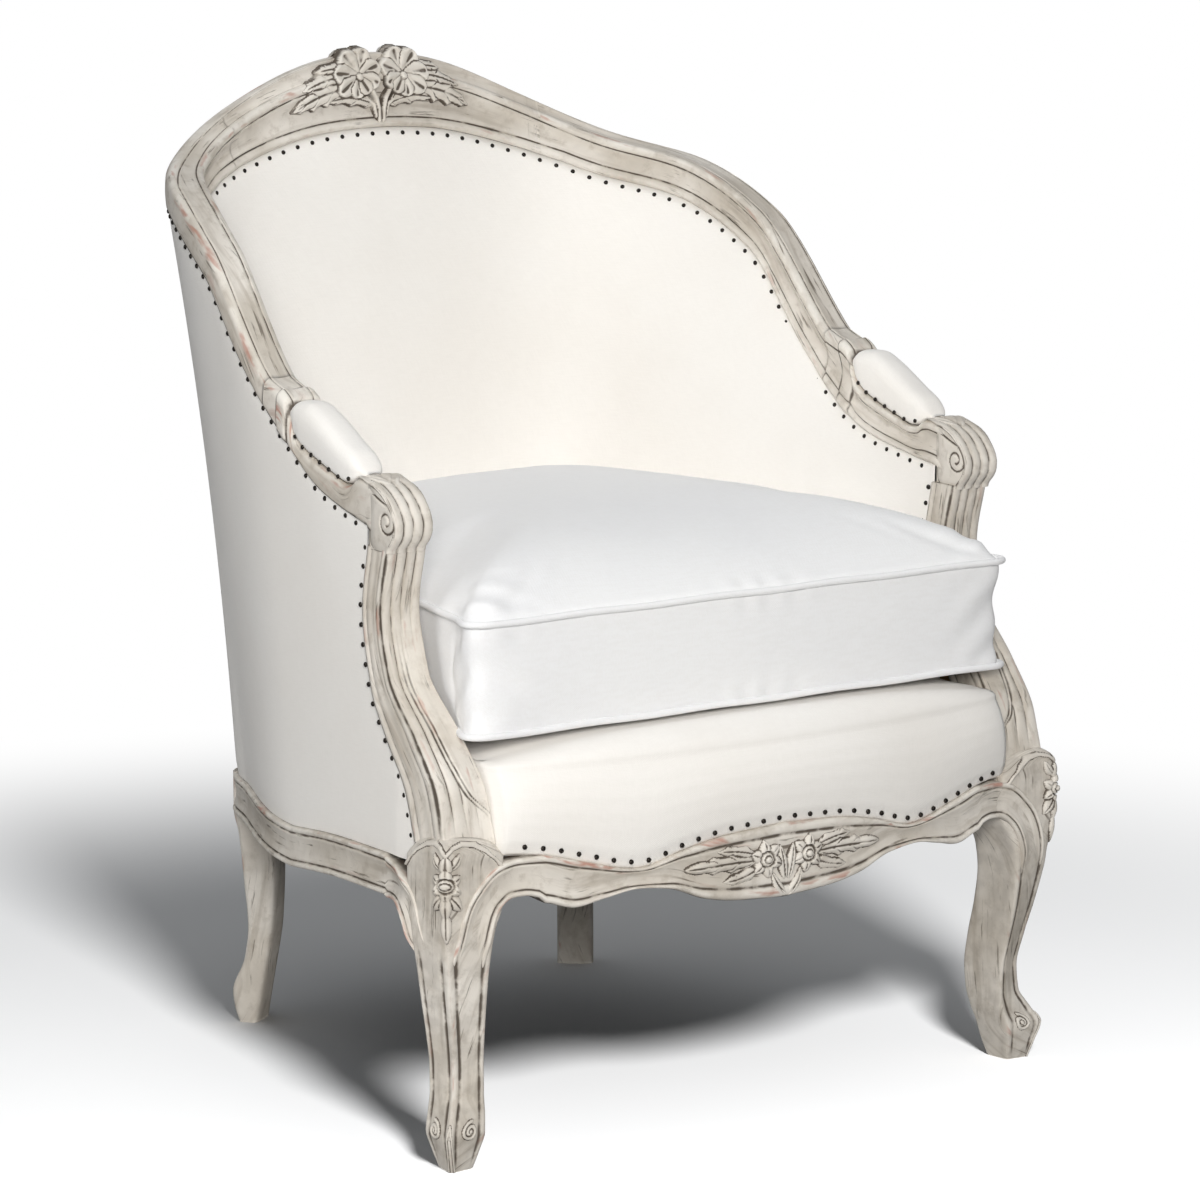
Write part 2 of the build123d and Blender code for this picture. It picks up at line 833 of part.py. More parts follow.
# Outside upholstery: a back panel between the rear legs and a side panel to each arm support
def panel_section(u):
    low = side_rail_top(u) + fabric_gap
    high = outside_edge(u) - seam_gap
    mid = (low + high) / 2
    bottom = frame_face(u) - 1
    top = rail_thickness - 1
    middle = (bottom + top) / 2 - sag(u)
    with BuildSketch(station(u)) as section:
        with BuildLine():
            ThreePointArc((bottom, low), (middle, mid), (top, high))
            Line((top, high), (top - panel_thickness, high))
            ThreePointArc(
                (top - panel_thickness, high),
                (middle - panel_thickness, mid),
                (bottom - panel_thickness, low),
            )
            Line((bottom - panel_thickness, low), (bottom, low))
        make_face()
    return section.sketch


with BuildPart() as outside_back:
    loft([panel_section(u) for u in back_stations])
save(outside_back, "outside_back")

with BuildPart() as outside_side:
    loft([panel_section(u) for u in side_stations + front_stations])
    extrude(before_support(fabric_gap), amount=2 * rail_half_width, dir=(1, 0, 0), mode=Mode.SUBTRACT)
save_pair(outside_side, "outside")

# Seat platform: jute webbing both ways and hessian over it
web_end = seat_rail_thickness - 12
on_floor = (Align.CENTER, Align.CENTER, Align.MIN)

with BuildPart() as seat_webbing_long:
    for u in (0, 0.035, 0.125):
        x, back_y = place(u, frame_face(u) - web_end)
        front_y = front_face(x) + web_end
        for spot in sorted({x, -x}):
            with Locations((spot, (front_y + back_y) / 2, seat_frame_z)):
                Box(web_width, back_y - front_y, web_thickness, align=on_floor)
save(seat_webbing_long, "seat_webbing_long")

with BuildPart() as seat_webbing_cross:
    for u in (at_y(-190), at_y(-95), 1, 0.72, 0.5):
        x, y = place(u, frame_face(u) - web_end)
        with Locations((0, y, seat_frame_z + web_thickness)):
            Box(2 * x, web_width, web_thickness, align=on_floor)
save(seat_webbing_cross, "seat_webbing_cross")


def seat_outline(z):
    """Level sheet that fills the seat frame, notched round the legs."""
    inset = seat_rail_thickness + fabric_gap
    notch_y = leg_block_back + fabric_gap
    notch_x = leg_block_edge - fabric_gap
    stations = [at_y(notch_y), 2.9, 2.4, 1.9, 1.4, 1, 0.9, 0.75, 0.6, 0.45, 0.3, 0.2, 0.1, 0.04]
    right = [place(u, frame_face(u) - inset) for u in stations]
    left = [(-x, y) for x, y in reversed(right)]
    corner = front_face(notch_x) + inset
    with BuildSketch(Plane.XY.offset(z)) as sheet:
        with BuildLine():
            Spline(*right, place(0, frame_face(0) - inset), *left)
            Polyline(left[-1], (-notch_x, notch_y), (-notch_x, corner))
            ThreePointArc((-notch_x, corner), (0, front_rail_y + inset + 1), (notch_x, corner))
            Polyline((notch_x, corner), (notch_x, notch_y), right[0])
        make_face()
        for side in (1, -1):
            x, y = place(side * rear_leg_at, rear_face - rear_leg_depth / 2)
            nx, ny = plan(side * rear_leg_at)[1]
            with Locations(Location((x, y, 0), (0, 0, degrees(atan2(ny, nx))))):
                Rectangle(
                    rear_leg_depth + 2 * fabric_gap,
                    rear_leg_width + 2 * fabric_gap,
                    mode=Mode.SUBTRACT,
                )
    return sheet.sketch


hessian_z = seat_frame_z + 2 * web_thickness
dust_cover_z = leg_block_z + 1

with BuildPart() as hessian:
    extrude(seat_outline(hessian_z), amount=cloth_thickness, dir=(0, 0, 1))
save(hessian, "hessian")

with BuildPart() as dust_cover:
    extrude(seat_outline(dust_cover_z), amount=cloth_thickness, dir=(0, 0, 1))
save(dust_cover, "dust_cover")

# Inside upholstery: one padded sheet round the tub, drawn flat against the arm supports
pad_base_z = hessian_z + cloth_thickness + fabric_gap
pad_top_thickness = 5.0
pad_top_outset = 1.0
back_room = rebate + post_gap + max(post_thickness, tack_rail_thickness) + 2
pad_fade = at_y(support_rear_y)


def pad_depth(u):
    """How far the padding stands in from the rail's inner top edge at the seat."""
    points = [(1.3, back_pad_depth), (pad_fade - 0.25, back_pad_depth / 4), (pad_fade, 2)]
    return smooth(points, abs(u))


def pad_face(u, z):
    """Outset of the padding's face at one height."""
    v = (z - pad_base_z) / (inside_edge(u) - pad_base_z)
    foot = -pad_depth(u) - flare(u)
    bulge = back_bulge * pad_depth(u) / back_pad_depth
    return foot + (pad_top_outset - foot) * v - 4 * bulge * v * (1 - v)


def pad_rear(u, z):
    """Outset of the padding's hidden side at one height."""
    v = (z - pad_base_z) / (inside_edge(u) - pad_base_z)
    foot = frame_face(u) - back_room
    return foot + (pad_top_outset + pad_top_thickness - foot) * v - 4 * sag(u) * v * (1 - v)


def inside_section(u):
    high = inside_edge(u) - seam_gap
    mid = (pad_base_z + high) / 2
    face = [(pad_face(u, z), z) for z in (pad_base_z, mid, high)]
    rear = [(pad_rear(u, z), z) for z in (high, mid, pad_base_z)]
    with BuildSketch(station(u)) as section:
        with BuildLine():
            ThreePointArc(*face)
            Line(face[-1], rear[0])
            ThreePointArc(*rear)
            Line(rear[-1], face[0])
        make_face()
    return section.sketch


inside_stations = [0] + crest_stations + shoulder_stations + fall_stations + arm_stations

with BuildPart() as inside_back:
    loft([inside_section(u) for u in inside_stations + front_stations])
    extrude(before_support(fabric_gap), amount=2 * rail_half_width, dir=(1, 0, 0), mode=Mode.SUBTRACT)
    with Locations(Location((arm_mid_x, scroll_y, scroll_z), (0, 90, 0))):
        Cylinder(scroll_radius + fabric_gap, rail_half_width, mode=Mode.SUBTRACT)
    mirror(about=Plane.YZ)
save(inside_back, "inside_back")

# Back webbing: upright straps behind the padding, from the tacking rails up to the top rail
def at_x(x):
    """Station on the curved back at one distance from its middle."""
    turn = degrees(asin((abs(x) / rail_half_width) ** (side_squareness / 2)))
    return turn / 90 if x >= 0 else -turn / 90


wide_strap = web_width / 2
narrow_strap = web_width / 4


def strap_section(u):
    high = inside_edge(u) - 1.5
    levels = (tack_rail_z, (tack_rail_z + high) / 2, high)
    near = [(pad_rear(u, z) + strap_gap, z) for z in levels]
    far = [(x + web_thickness, z) for x, z in reversed(near)]
    with BuildSketch(station(u)) as section:
        with BuildLine():
            ThreePointArc(*near)
            Line(near[-1], far[0])
            ThreePointArc(*far)
            Line(far[-1], near[0])
        make_face()
    return section.sketch


with BuildPart() as back_webbing:
    for middle_x, half in ((0, wide_strap), (75, wide_strap), (150, wide_strap), (255, narrow_strap)):
        loft([strap_section(at_x(middle_x + half * t)) for t in (-1, 0, 1)])
    mirror(about=Plane.YZ)
save(back_webbing, "back_webbing")

# Arm pads: plump bolsters set in the hollow of each arm
pad_rows = [
    # distance in front of the pad's rear end, crown above the arm's underside, share of the width
    (3.8, 100, 0.82),
    (12, 102.5, 0.95),
    (26, 103, 1),
    (46, 96, 1),
    (66, 85.5, 1),
    (86, 74, 0.97),
    (104, 65, 0.88),
    (113, 56.5, 0.72),
    (119.5, 49, 0.45),
]


def pad_section(ahead, crown, share):
    y = pad_rear_y - ahead
    half = pad_half_width * share
    left = arm_mid_x - half
    right = arm_mid_x + half
    low = pad_seat(y) + 1.2
    high = arm_under_z + crown
    hip = high - 0.3 * (high - low)
    with BuildSketch(Plane.XZ.offset(-y)) as section:
        with BuildLine():
            ThreePointArc((left, low), (left - 2, (low + hip) / 2), (left + 3, hip))
            ThreePointArc((left + 3, hip), (arm_mid_x, high), (right - 3, hip))
            ThreePointArc((right - 3, hip), (right + 2, (low + hip) / 2), (right, low))
            Line((right, low), (left, low))
        make_face()
    return section.sketch


with BuildPart() as arm_pad:
    loft([pad_section(*row) for row in pad_rows])
save_pair(arm_pad, "arm_pad")

# Seat deck: stuffed platform with a rolled front edge above the apron
deck_base_z = pad_base_z
deck_top_z = seat_frame_z + deck_height
deck_front_y = support_rear_y - 17
deck_half_width = leg_block_edge - 2


def roll_section(x):
    """Side section of the deck's rolled front."""
    face = front_face(x)
    low = front_rail_top(x) + seam_gap
    shoulder = deck_top_z - 22
    step = face + rebate - seam_gap
    with BuildSketch(Plane.YZ.offset(x)) as section:
        with BuildLine():
            ThreePointArc((face + 1.5, low), (face - roll_bulge, (low + shoulder) / 2), (face + 6, shoulder))
            ThreePointArc((face + 6, shoulder), (face + 18, deck_top_z - 5), (face + 46, deck_top_z))
            Polyline(
                (face + 46, deck_top_z),
                (deck_front_y, deck_top_z),
                (deck_front_y, deck_base_z),
                (step, deck_base_z),
                (step, low),
                (face + 1.5, low),
            )
        make_face()
    return section.sketch


with BuildPart() as seat_deck:
    with BuildSketch(Plane.XY.offset(deck_base_z)):
        with BuildLine():
            stations = [at_y(deck_front_y), 2.5, 2, 1.5, 1, 0.85, 0.7, 0.55, 0.4, 0.25, 0.12, 0.04]
            edge = [place(u, pad_face(u, pad_base_z) - 1.5) for u in stations]
            right = [(min(x, deck_half_width), y) for x, y in edge]
            left = [(-x, y) for x, y in reversed(right)]
            Spline(*right, place(0, pad_face(0, pad_base_z) - 1.5), *left)
            Line(left[-1], right[0])
        make_face()
    extrude(amount=deck_top_z - 4 - deck_base_z)
    loft([roll_section(x) for x in [-deck_half_width] + apron_stations + [deck_half_width]])
save(seat_deck, "seat_deck")

# Loose seat cushion: boxed, wider in front of the arm supports, with a crowned top
cushion_low_z = deck_top_z + cushion_rest
cushion_welt_z = cushion_low_z + 8
cushion_top_z = cushion_welt_z + cushion_boxing
cushion_front_y = front_rail_y + cushion_setback
cushion_middle_y = -10.0
cushion_corner = 16.0


def cushion_section(z, share):
    """Level outline of the cushion, drawn in towards its middle by a share."""
    def drawn(x, y):
        return (x * share, cushion_middle_y + (y - cushion_middle_y) * share)

    level = min(max(z, cushion_welt_z), cushion_top_z)
    stations = [2.1, 1.7, 1.3, 1, 0.88, 0.76, 0.64, 0.52, 0.4, 0.28, 0.17, 0.08, 0.03]
    tub = [place(u, pad_face(u, level) - cushion_gap) for u in stations]
    ear = [
        (cushion_half_width, cushion_front_y + cushion_corner),
        (rail_half_width - 12, support_rear_y - 82),
        (rail_half_width - 20, support_rear_y - 37),
        (rail_half_width - 28, support_rear_y + 3),
    ]
    right = [drawn(*point) for point in ear + tub]
    left = [(-x, y) for x, y in reversed(right)]
    back = drawn(*place(0, pad_face(0, level) - cushion_gap))
    front = drawn(cushion_half_width - cushion_corner, cushion_front_y)
    bend = drawn(cushion_half_width - 0.29 * cushion_corner, cushion_front_y + 0.29 * cushion_corner)
    with BuildSketch(Plane.XY.offset(z)) as section:
        with BuildLine():
            Spline(*right, back, *left)
            ThreePointArc(left[-1], (-bend[0], bend[1]), (-front[0], front[1]))
            Line((-front[0], front[1]), front)
            ThreePointArc(front, bend, right[0])
        make_face()
    return section.sketch


crown_rows = [(0, 1), (0.2, 0.965), (0.48, 0.87), (0.73, 0.72), (0.91, 0.54), (1, 0.36)]

with BuildPart() as seat_cushion:
    loft([cushion_section(cushion_low_z + 8 * t, share) for t, share in ((0, 0.87), (0.4, 0.965), (1, 1))])
    middle_z = (cushion_welt_z + cushion_top_z) / 2
    loft([
        cushion_section(cushion_welt_z, 1),
        cushion_section(middle_z, 0.988),
        cushion_section(cushion_top_z, 1),
    ])
    loft([cushion_section(cushion_top_z + cushion_crown * t, share) for t, share in crown_rows])
save(seat_cushion, "seat_cushion")
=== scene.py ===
import bpy
import numpy as np
from math import asin, cos, degrees, exp, hypot, pi, radians, sin, sqrt
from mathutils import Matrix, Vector


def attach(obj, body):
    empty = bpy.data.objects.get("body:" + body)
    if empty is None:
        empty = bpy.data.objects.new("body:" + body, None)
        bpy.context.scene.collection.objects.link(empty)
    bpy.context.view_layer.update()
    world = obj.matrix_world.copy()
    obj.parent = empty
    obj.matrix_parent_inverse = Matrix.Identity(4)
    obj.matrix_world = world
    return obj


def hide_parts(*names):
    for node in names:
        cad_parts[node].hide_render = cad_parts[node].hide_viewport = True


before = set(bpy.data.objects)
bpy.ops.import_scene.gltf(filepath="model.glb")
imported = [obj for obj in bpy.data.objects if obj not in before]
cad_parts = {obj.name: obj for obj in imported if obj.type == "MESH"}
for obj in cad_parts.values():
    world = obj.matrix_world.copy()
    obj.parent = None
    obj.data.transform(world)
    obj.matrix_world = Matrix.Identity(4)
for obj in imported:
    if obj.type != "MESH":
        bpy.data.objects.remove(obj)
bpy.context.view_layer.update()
scene = bpy.context.scene
FRAME, LOOSE = "chair_frame", "cushion"

# Sizes in millimetres, as in the solids
MIDDLE = 27.0  # depth that lies over the origin
HALF, BACK = 318.0, 356.0  # half width of the tub inside the rail, and how far back it reaches
SQ_X, SQ_Y = 4.17, 2.16  # powers of the curve round its back
JOINT_Y, JOINT_Z = 15.0, 705.0  # where the top rail meets the arm
STATION = 100.0  # length of arm that one station covers
THICK = 38.0  # thickness of the rail
SEAT_Z = 302.0  # top of the seat frame
BASE_Z, RISE = 305.0, 265.0  # foot and height of the arm supports
REAR_Y = -163.0  # their rear edge, under the arm
ARM_X, ARM_Z = HALF + THICK / 2, 586.0  # middle and underside of the arm
LEG_AT = 0.31  # station of the rear legs
SEAM = 0.4  # gap between a cover's edge and the wood
PAD_Z, PAD_DEEP, PAD_HOLLOW = 306.4, 36.0, 12.0  # inside padding: foot, thickness and hollow
APRON_Y, APRON_BOW, APRON_HALF = -333.0, 36.0, 300.0  # front face: middle, and fall over its half width
APRON_END = 296.46  # half length of the apron's upper line

def smooth(points, at):
    """Value on a smooth line through a few (place, value) points, level past its ends."""
    p = sorted(points)
    if at <= p[0][0]:
        return p[0][1]
    if at >= p[-1][0]:
        return p[-1][1]
    g = [b[0] - a[0] for a, b in zip(p, p[1:])]
    s = [(b[1] - a[1]) / w for a, b, w in zip(p, p[1:], g)]
    m = [s[0]] + [2 * a * b / (a + b) if a * b > 0 else 0 for a, b in zip(s, s[1:])] + [s[-1]]
    i = next(k for k in range(len(g)) if at <= p[k + 1][0])
    t = (at - p[i][0]) / g[i]
    r = p[i + 1][1] - p[i][1]
    rise = r * t * t * (3 - 2 * t)
    return p[i][1] + rise + t * (1 - t) ** 2 * m[i] * g[i] - t * t * (1 - t) * m[i + 1] * g[i]

def between(a, b, n):
    """Even steps from a to b."""
    return [a + (b - a) * i / (n - 1) for i in range(n)]

# Stations along the tub: 0 in the middle of the back, 1 at the joint, then on the arm; negative on the left
def at_y(y):
    """Station on the arm at one depth."""
    return 1 + (JOINT_Y - y) / STATION

def at_x(x):
    """Station on the curved back at one distance from its middle."""
    t = degrees(asin(min(1, abs(x) / HALF) ** (SQ_X / 2))) / 90
    return t if x >= 0 else -t

def plan(u):
    """Point of the tub's plan at a station, and the direction out of the chair."""
    side, r = (1 if u >= 0 else -1), abs(u)
    if r >= 1:
        return (side * HALF, JOINT_Y - STATION * (r - 1)), (side, 0)
    a = sin(radians(90 * r)) ** (2 / SQ_X)
    b = cos(radians(90 * r)) ** (2 / SQ_Y)
    nx, ny = SQ_X * a ** (SQ_X - 1) / HALF, SQ_Y * b ** (SQ_Y - 1) / (BACK - JOINT_Y)
    k = hypot(nx, ny)
    return (side * HALF * a, JOINT_Y + (BACK - JOINT_Y) * b), (side * nx / k, ny / k)

def at(u, outset, z):
    """Point at a station, a distance out from the plan and a height."""
    (x, y), (nx, ny) = plan(u)
    return (x + nx * outset, y + ny * outset, z)

def ridge_z(u):
    """Height of the top rail's ridge."""
    return smooth([(0, 963), (0.17, 924), (0.39, 887), (0.61, 866), (0.81, 819), (1, JOINT_Z)], abs(u))

def steep(u):
    """Length of the rail for one unit of its plan."""
    r = min(max(abs(u), 0.03), 0.97)
    (xa, ya), _ = plan(r - 0.02)
    (xb, yb), _ = plan(r + 0.02)
    f = (ridge_z(r + 0.02) - ridge_z(r - 0.02)) / hypot(xb - xa, yb - ya)
    return sqrt(1 + f * f)

def face_drop(u):
    """Height of the rail's inner face below its ridge."""
    return 39 * steep(u) + smooth([(0, 18), (0.15, 6), (0.28, 0)], abs(u))

def outer_drop(u):
    """Height of the rail's outer face below its ridge."""
    return smooth([(0.7, 28), (1, 18)], abs(u)) * steep(u)

ARM_IN = [(REAR_Y, ARM_Z), (-111, ARM_Z + 9), (-59, ARM_Z + 20), (-19, ARM_Z + 38),
          (JOINT_Y, JOINT_Z - face_drop(1))]
ARM_OUT = [(REAR_Y, ARM_Z + 2), (-113, ARM_Z + 15), (-77, ARM_Z + 28), (-23, ARM_Z + 64),
           (JOINT_Y, JOINT_Z - outer_drop(1))]

def inside_edge(u):
    """Upper edge of the inside cover."""
    return ridge_z(u) - face_drop(u) if abs(u) <= 1 else smooth(ARM_IN, plan(u)[0][1])

def outside_edge(u):
    """Upper edge of the outside covers."""
    return ridge_z(u) - outer_drop(u) if abs(u) <= 1 else smooth(ARM_OUT, plan(u)[0][1])

def flare(u):
    """How far the outside leans in from the rail down to the seat frame."""
    return smooth([(-205, 0.5), (JOINT_Y, 26), (240, 70), (BACK, 41)], plan(u)[0][1])

def side_top(u):
    """Upper edge of the side and back seat rails."""
    return SEAT_Z - 40 + smooth([(0.4, 0), (1, 8), (2, 18), (3, 22)], abs(u))

def sag(u):
    """Hollow of the outside covers."""
    return 0.08 * flare(u) + 0.6

def support_rear(t):
    """Depth of the arm support's rear edge, at a share of its height."""
    p = [(0, -74), (0.17, -59), (0.34, -27), (0.49, -4), (0.77, 10), (1, 0)]
    return REAR_Y + smooth(p, t)

def support_front(t):
    """Depth of its front edge."""
    p = [(0, 1), (0.18, 0.91), (0.36, 0.64), (0.55, 0.30), (0.77, 0.19), (1, 0.29)]
    return REAR_Y - 126 * smooth(p, t)

def support_in(t):
    """Distance of its inner face from the middle of the chair."""
    return smooth([(0, 300.5), (0.36, 308), (0.55, 314)], t)

def rear_at(z):
    """Depth of the arm support's rear edge at one height."""
    return support_rear(min(1, max(0, (z - BASE_Z) / RISE)))

def pad_depth(u):
    """Thickness of the inside padding at its foot."""
    fade = at_y(REAR_Y)
    return smooth([(1.3, PAD_DEEP), (fade - 0.25, 9), (fade, 2)], abs(u))

def pad_face(u, z):
    """Outset of the inside padding's face."""
    v = (z - PAD_Z) / (inside_edge(u) - PAD_Z)
    foot = -pad_depth(u) - flare(u)
    return foot + (1 - foot) * v - 4 * PAD_HOLLOW * pad_depth(u) / PAD_DEEP * v * (1 - v)

def front_face(x):
    """Depth of the apron's bowed face."""
    return APRON_Y + APRON_BOW * (x / APRON_HALF) ** 2

def front_top(x):
    """Upper edge of the apron."""
    p = [(0, 8), (0.23, 12), (0.38, 20), (0.545, 32), (0.753, 19), (0.855, 11), (1, 4)]
    return SEAT_Z - smooth(p, abs(x) / APRON_END)

def ease(t):
    """Soft step from 0 to 1."""
    t = min(1, max(0, t))
    return t * t * (3 - 2 * t)

def row_at(table, t):
    """Values beside the first in a table's rows, on smooth lines at one place."""
    return tuple(smooth([(row[0], row[k]) for row in table], t) for k in range(1, len(table[0])))

# Mesh building
def to_world(points):
    """Millimetres in the solids' frame to metres in the scene."""
    p = np.asarray(points, float).copy()
    p[..., 1] -= MIDDLE
    return p / 1000

def mesh(name, points, faces, marks=None):
    """A smooth-shaded mesh object; marks are values kept on its points for the materials."""
    data = bpy.data.meshes.new(name)
    data.from_pydata(to_world(points).tolist(), [], [list(map(int, f)) for f in faces])
    for mark, values in (marks or {}).items():
        values = np.asarray(values, float)
        kind = "FLOAT_VECTOR" if values.ndim == 2 else "FLOAT"
        layer = data.attributes.new(mark, kind, "POINT")
        layer.data.foreach_set("vector" if values.ndim == 2 else "value", values.ravel())
    data.polygons.foreach_set("use_smooth", [True] * len(data.polygons))
    data.validate()
    obj = bpy.data.objects.new(name, data)
    scene.collection.objects.link(obj)
    return obj

def grid_faces(m, n, wrap_m=False, wrap_n=False):
    """Four-sided faces over a table of m rows of n points."""
    i = np.arange(m if wrap_m else m - 1)
    j = np.arange(n if wrap_n else n - 1)
    I, J = np.meshgrid(i, j, indexing="ij")
    I2, J2 = (I + 1) % m, (J + 1) % n
    return np.stack([I * n + J, I2 * n + J, I2 * n + J2, I * n + J2], -1).reshape(-1, 4)

def grid(name, rows, wrap_m=False, wrap_n=False, caps=False, marks=None, flip=False):
    """Mesh over a table of points, with its flow: lengths along and across it in metres."""
    p = np.asarray(rows, float)
    m, n = p.shape[:2]
    faces = grid_faces(m, n, wrap_m, wrap_n).tolist()
    if caps:
        faces += [list(range(n))[::-1], list(range((m - 1) * n, m * n))]
    if flip:
        faces = [f[::-1] for f in faces]
    along = np.zeros((m, n))
    along[1:] = np.cumsum(np.linalg.norm(np.diff(p, axis=0), axis=2), axis=0)
    across = np.zeros((m, n))
    across[:, 1:] = np.cumsum(np.linalg.norm(np.diff(p, axis=1), axis=2), axis=1)
    flow = np.stack([along, across, np.zeros((m, n))], -1).reshape(-1, 3) / 1000
    keep = {"flow": flow}
    for k, v in (marks or {}).items():
        v = np.asarray(v, float)
        keep[k] = np.broadcast_to(v, (m, n)).reshape(-1)
    return mesh(name, p.reshape(-1, 3), faces, keep)

def marked(name, rows, **kw):
    """Grid over (x, y, z, wax, wear) points."""
    p = np.array(rows, float)
    return grid(name, p[..., :3], marks={"cav": p[..., 3], "edge": p[..., 4]}, **kw)

def mirrored(obj, name):
    """The same piece on the other side of the chair."""
    data = obj.data.copy()
    co = np.empty(len(data.vertices) * 3)
    data.vertices.foreach_get("co", co)
    co[0::3] *= -1
    data.vertices.foreach_set("co", co)
    data.flip_normals()
    twin = bpy.data.objects.new(name, data)
    scene.collection.objects.link(twin)
    return twin

def dress(obj, material, slot, body=FRAME, nodes=()):
    """Material, body and the solids that a piece stands for; the record slot is not used."""
    obj.data.materials.clear()
    obj.data.materials.append(material)
    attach(obj, body)
    for node in nodes:
        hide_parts(node)
    return obj

def both(obj, stem, *args, nodes=(), **kw):
    """Dress a right-hand piece and its mirror image."""
    twin = mirrored(obj, stem + "_left_look")
    dress(obj, *args, nodes=[n + "_right" for n in nodes], **kw)
    dress(twin, *args, nodes=[n + "_left" for n in nodes], **kw)
    return obj, twin

# Materials
class Nodes:
    """Short calls for building the nodes of a material or world."""

    def __init__(self, owner):
        self.owner = owner
        owner.use_nodes = True
        self.tree = owner.node_tree

    def new(self, kind, **values):
        node = self.tree.nodes.new("ShaderNode" + kind)
        for k, v in values.items():
            setattr(node, k, v)
        return node

    def put(self, socket, value):
        if hasattr(value, "links"):
            self.tree.links.new(value, socket)
        else:
            socket.default_value = value

    def math(self, op, a, b=0.0, c=0.0):
        n = self.new("Math", operation=op)
        for s, v in zip(n.inputs, (a, b, c)):
            self.put(s, v)
        return n.outputs[0]

    def mix(self, fac, a, b, blend="MIX"):
        n = self.new("MixRGB", blend_type=blend)
        for s, v in zip(n.inputs, (fac, a, b)):
            self.put(s, v)
        return n.outputs[0]

    def steps(self, value, low, high, a=0.0, b=1.0, kind="SMOOTHSTEP"):
        n = self.new("MapRange", interpolation_type=kind)
        for s, v in zip(n.inputs, (value, low, high, a, b)):
            self.put(s, v)
        return n.outputs[0]

    def mark(self, name, kind="Fac"):
        return self.new("Attribute", attribute_name=name).outputs[kind]

    def stretch(self, vector, scale):
        n = self.new("Mapping")
        self.put(n.inputs["Vector"], vector)
        n.inputs["Scale"].default_value = scale
        return n.outputs[0]

    def noise(self, vector, scale, detail=3.0, rough=0.55):
        n = self.new("TexNoise")
        self.put(n.inputs["Vector"], vector)
        n.inputs["Scale"].default_value = scale
        n.inputs["Detail"].default_value = detail
        n.inputs["Roughness"].default_value = rough
        return n.outputs[0]

    def blend(self, fac, a, b):
        n = self.new("MixShader")
        for s, v in zip(n.inputs, (fac, a.outputs[0], b.outputs[0])):
            self.put(s, v)
        return n.outputs[0]

    def bump(self, height, strength, distance, after=None):
        n = self.new("Bump")
        n.inputs["Strength"].default_value = strength
        n.inputs["Distance"].default_value = distance
        self.put(n.inputs["Height"], height)
        if after is not None:
            self.put(n.inputs["Normal"], after)
        return n.outputs[0]

    def set(self, **values):
        shader = self.tree.nodes["Principled BSDF"]
        for k, v in values.items():
            self.put(shader.inputs[k.replace("_", " ")], v)

def rgb(r, g, b):
    """Colour as seen on screen to the shader's linear values."""
    def lin(c):
        c /= 255
        return c / 12.92 if c <= 0.04045 else ((c + 0.055) / 1.055) ** 2.4
    return (lin(r), lin(g), lin(b), 1.0)

def paint_material():
    """Worn greige paint: dark wax in the hollows, streaks along the grain, pink undercoat on edges."""
    n = Nodes(bpy.data.materials.new("worn_paint"))
    here = n.new("TexCoord").outputs["Object"]
    flow = n.mark("flow", "Vector")
    hollow = n.mark("cav")
    edge = n.mark("edge")
    broad = n.noise(here, 9, 4)
    fine = n.noise(here, 70, 5, 0.65)
    color = n.mix(n.steps(broad, 0.35, 0.68), rgb(206, 198, 186), rgb(233, 227, 218))
    color = n.mix(n.steps(fine, 0.50, 0.72, 0, 0.45), color, rgb(176, 166, 152))
    smear = n.noise(n.stretch(flow, (7, 60, 1)), 1.0, 4, 0.6)
    color = n.mix(n.steps(smear, 0.48, 0.66, 0, 0.5), color, rgb(172, 162, 148))
    # streaks of wax drawn along each length of wood
    streak = n.noise(n.stretch(flow, (14, 230, 1)), 1.0, 5, 0.62)
    patch = n.noise(n.stretch(flow, (16, 34, 1)), 1.3, 3)
    streaks = n.math("MULTIPLY", n.steps(streak, 0.55, 0.64), n.steps(patch, 0.5, 0.6))
    color = n.mix(n.math("MULTIPLY", streaks, 0.85), color, rgb(110, 100, 88))
    # wax left in the hollows; on the legs the same mark also carries painted shade over the whole leg
    wax = n.math("MULTIPLY", hollow, n.steps(n.noise(here, 55, 4), 0.30, 0.62, 0.35, 1.0))
    color = n.mix(n.steps(wax, 0.10, 0.75, 0, 0.95), color, rgb(84, 74, 64))
    # worn edges: pale wood first, then the pink undercoat in places
    rub = n.math("MULTIPLY", edge, n.steps(n.noise(here, 38, 4), 0.42, 0.6))
    color = n.mix(n.math("MULTIPLY", rub, 0.7), color, rgb(240, 235, 226))
    red = n.math("MULTIPLY", edge, n.steps(n.noise(n.stretch(flow, (16, 60, 1)), 1.0, 3), 0.56, 0.66))
    color = n.mix(n.math("MULTIPLY", red, 0.75), color, rgb(176, 112, 92))
    n.set(Base_Color=color, Roughness=0.62, Specular_IOR_Level=0.3)
    brushed = n.noise(n.stretch(flow, (25, 420, 1)), 1.0, 3)
    bumps = n.bump(brushed, 0.18, 0.0006)
    n.set(Normal=n.bump(fine, 0.12, 0.0008, bumps))
    return n.owner

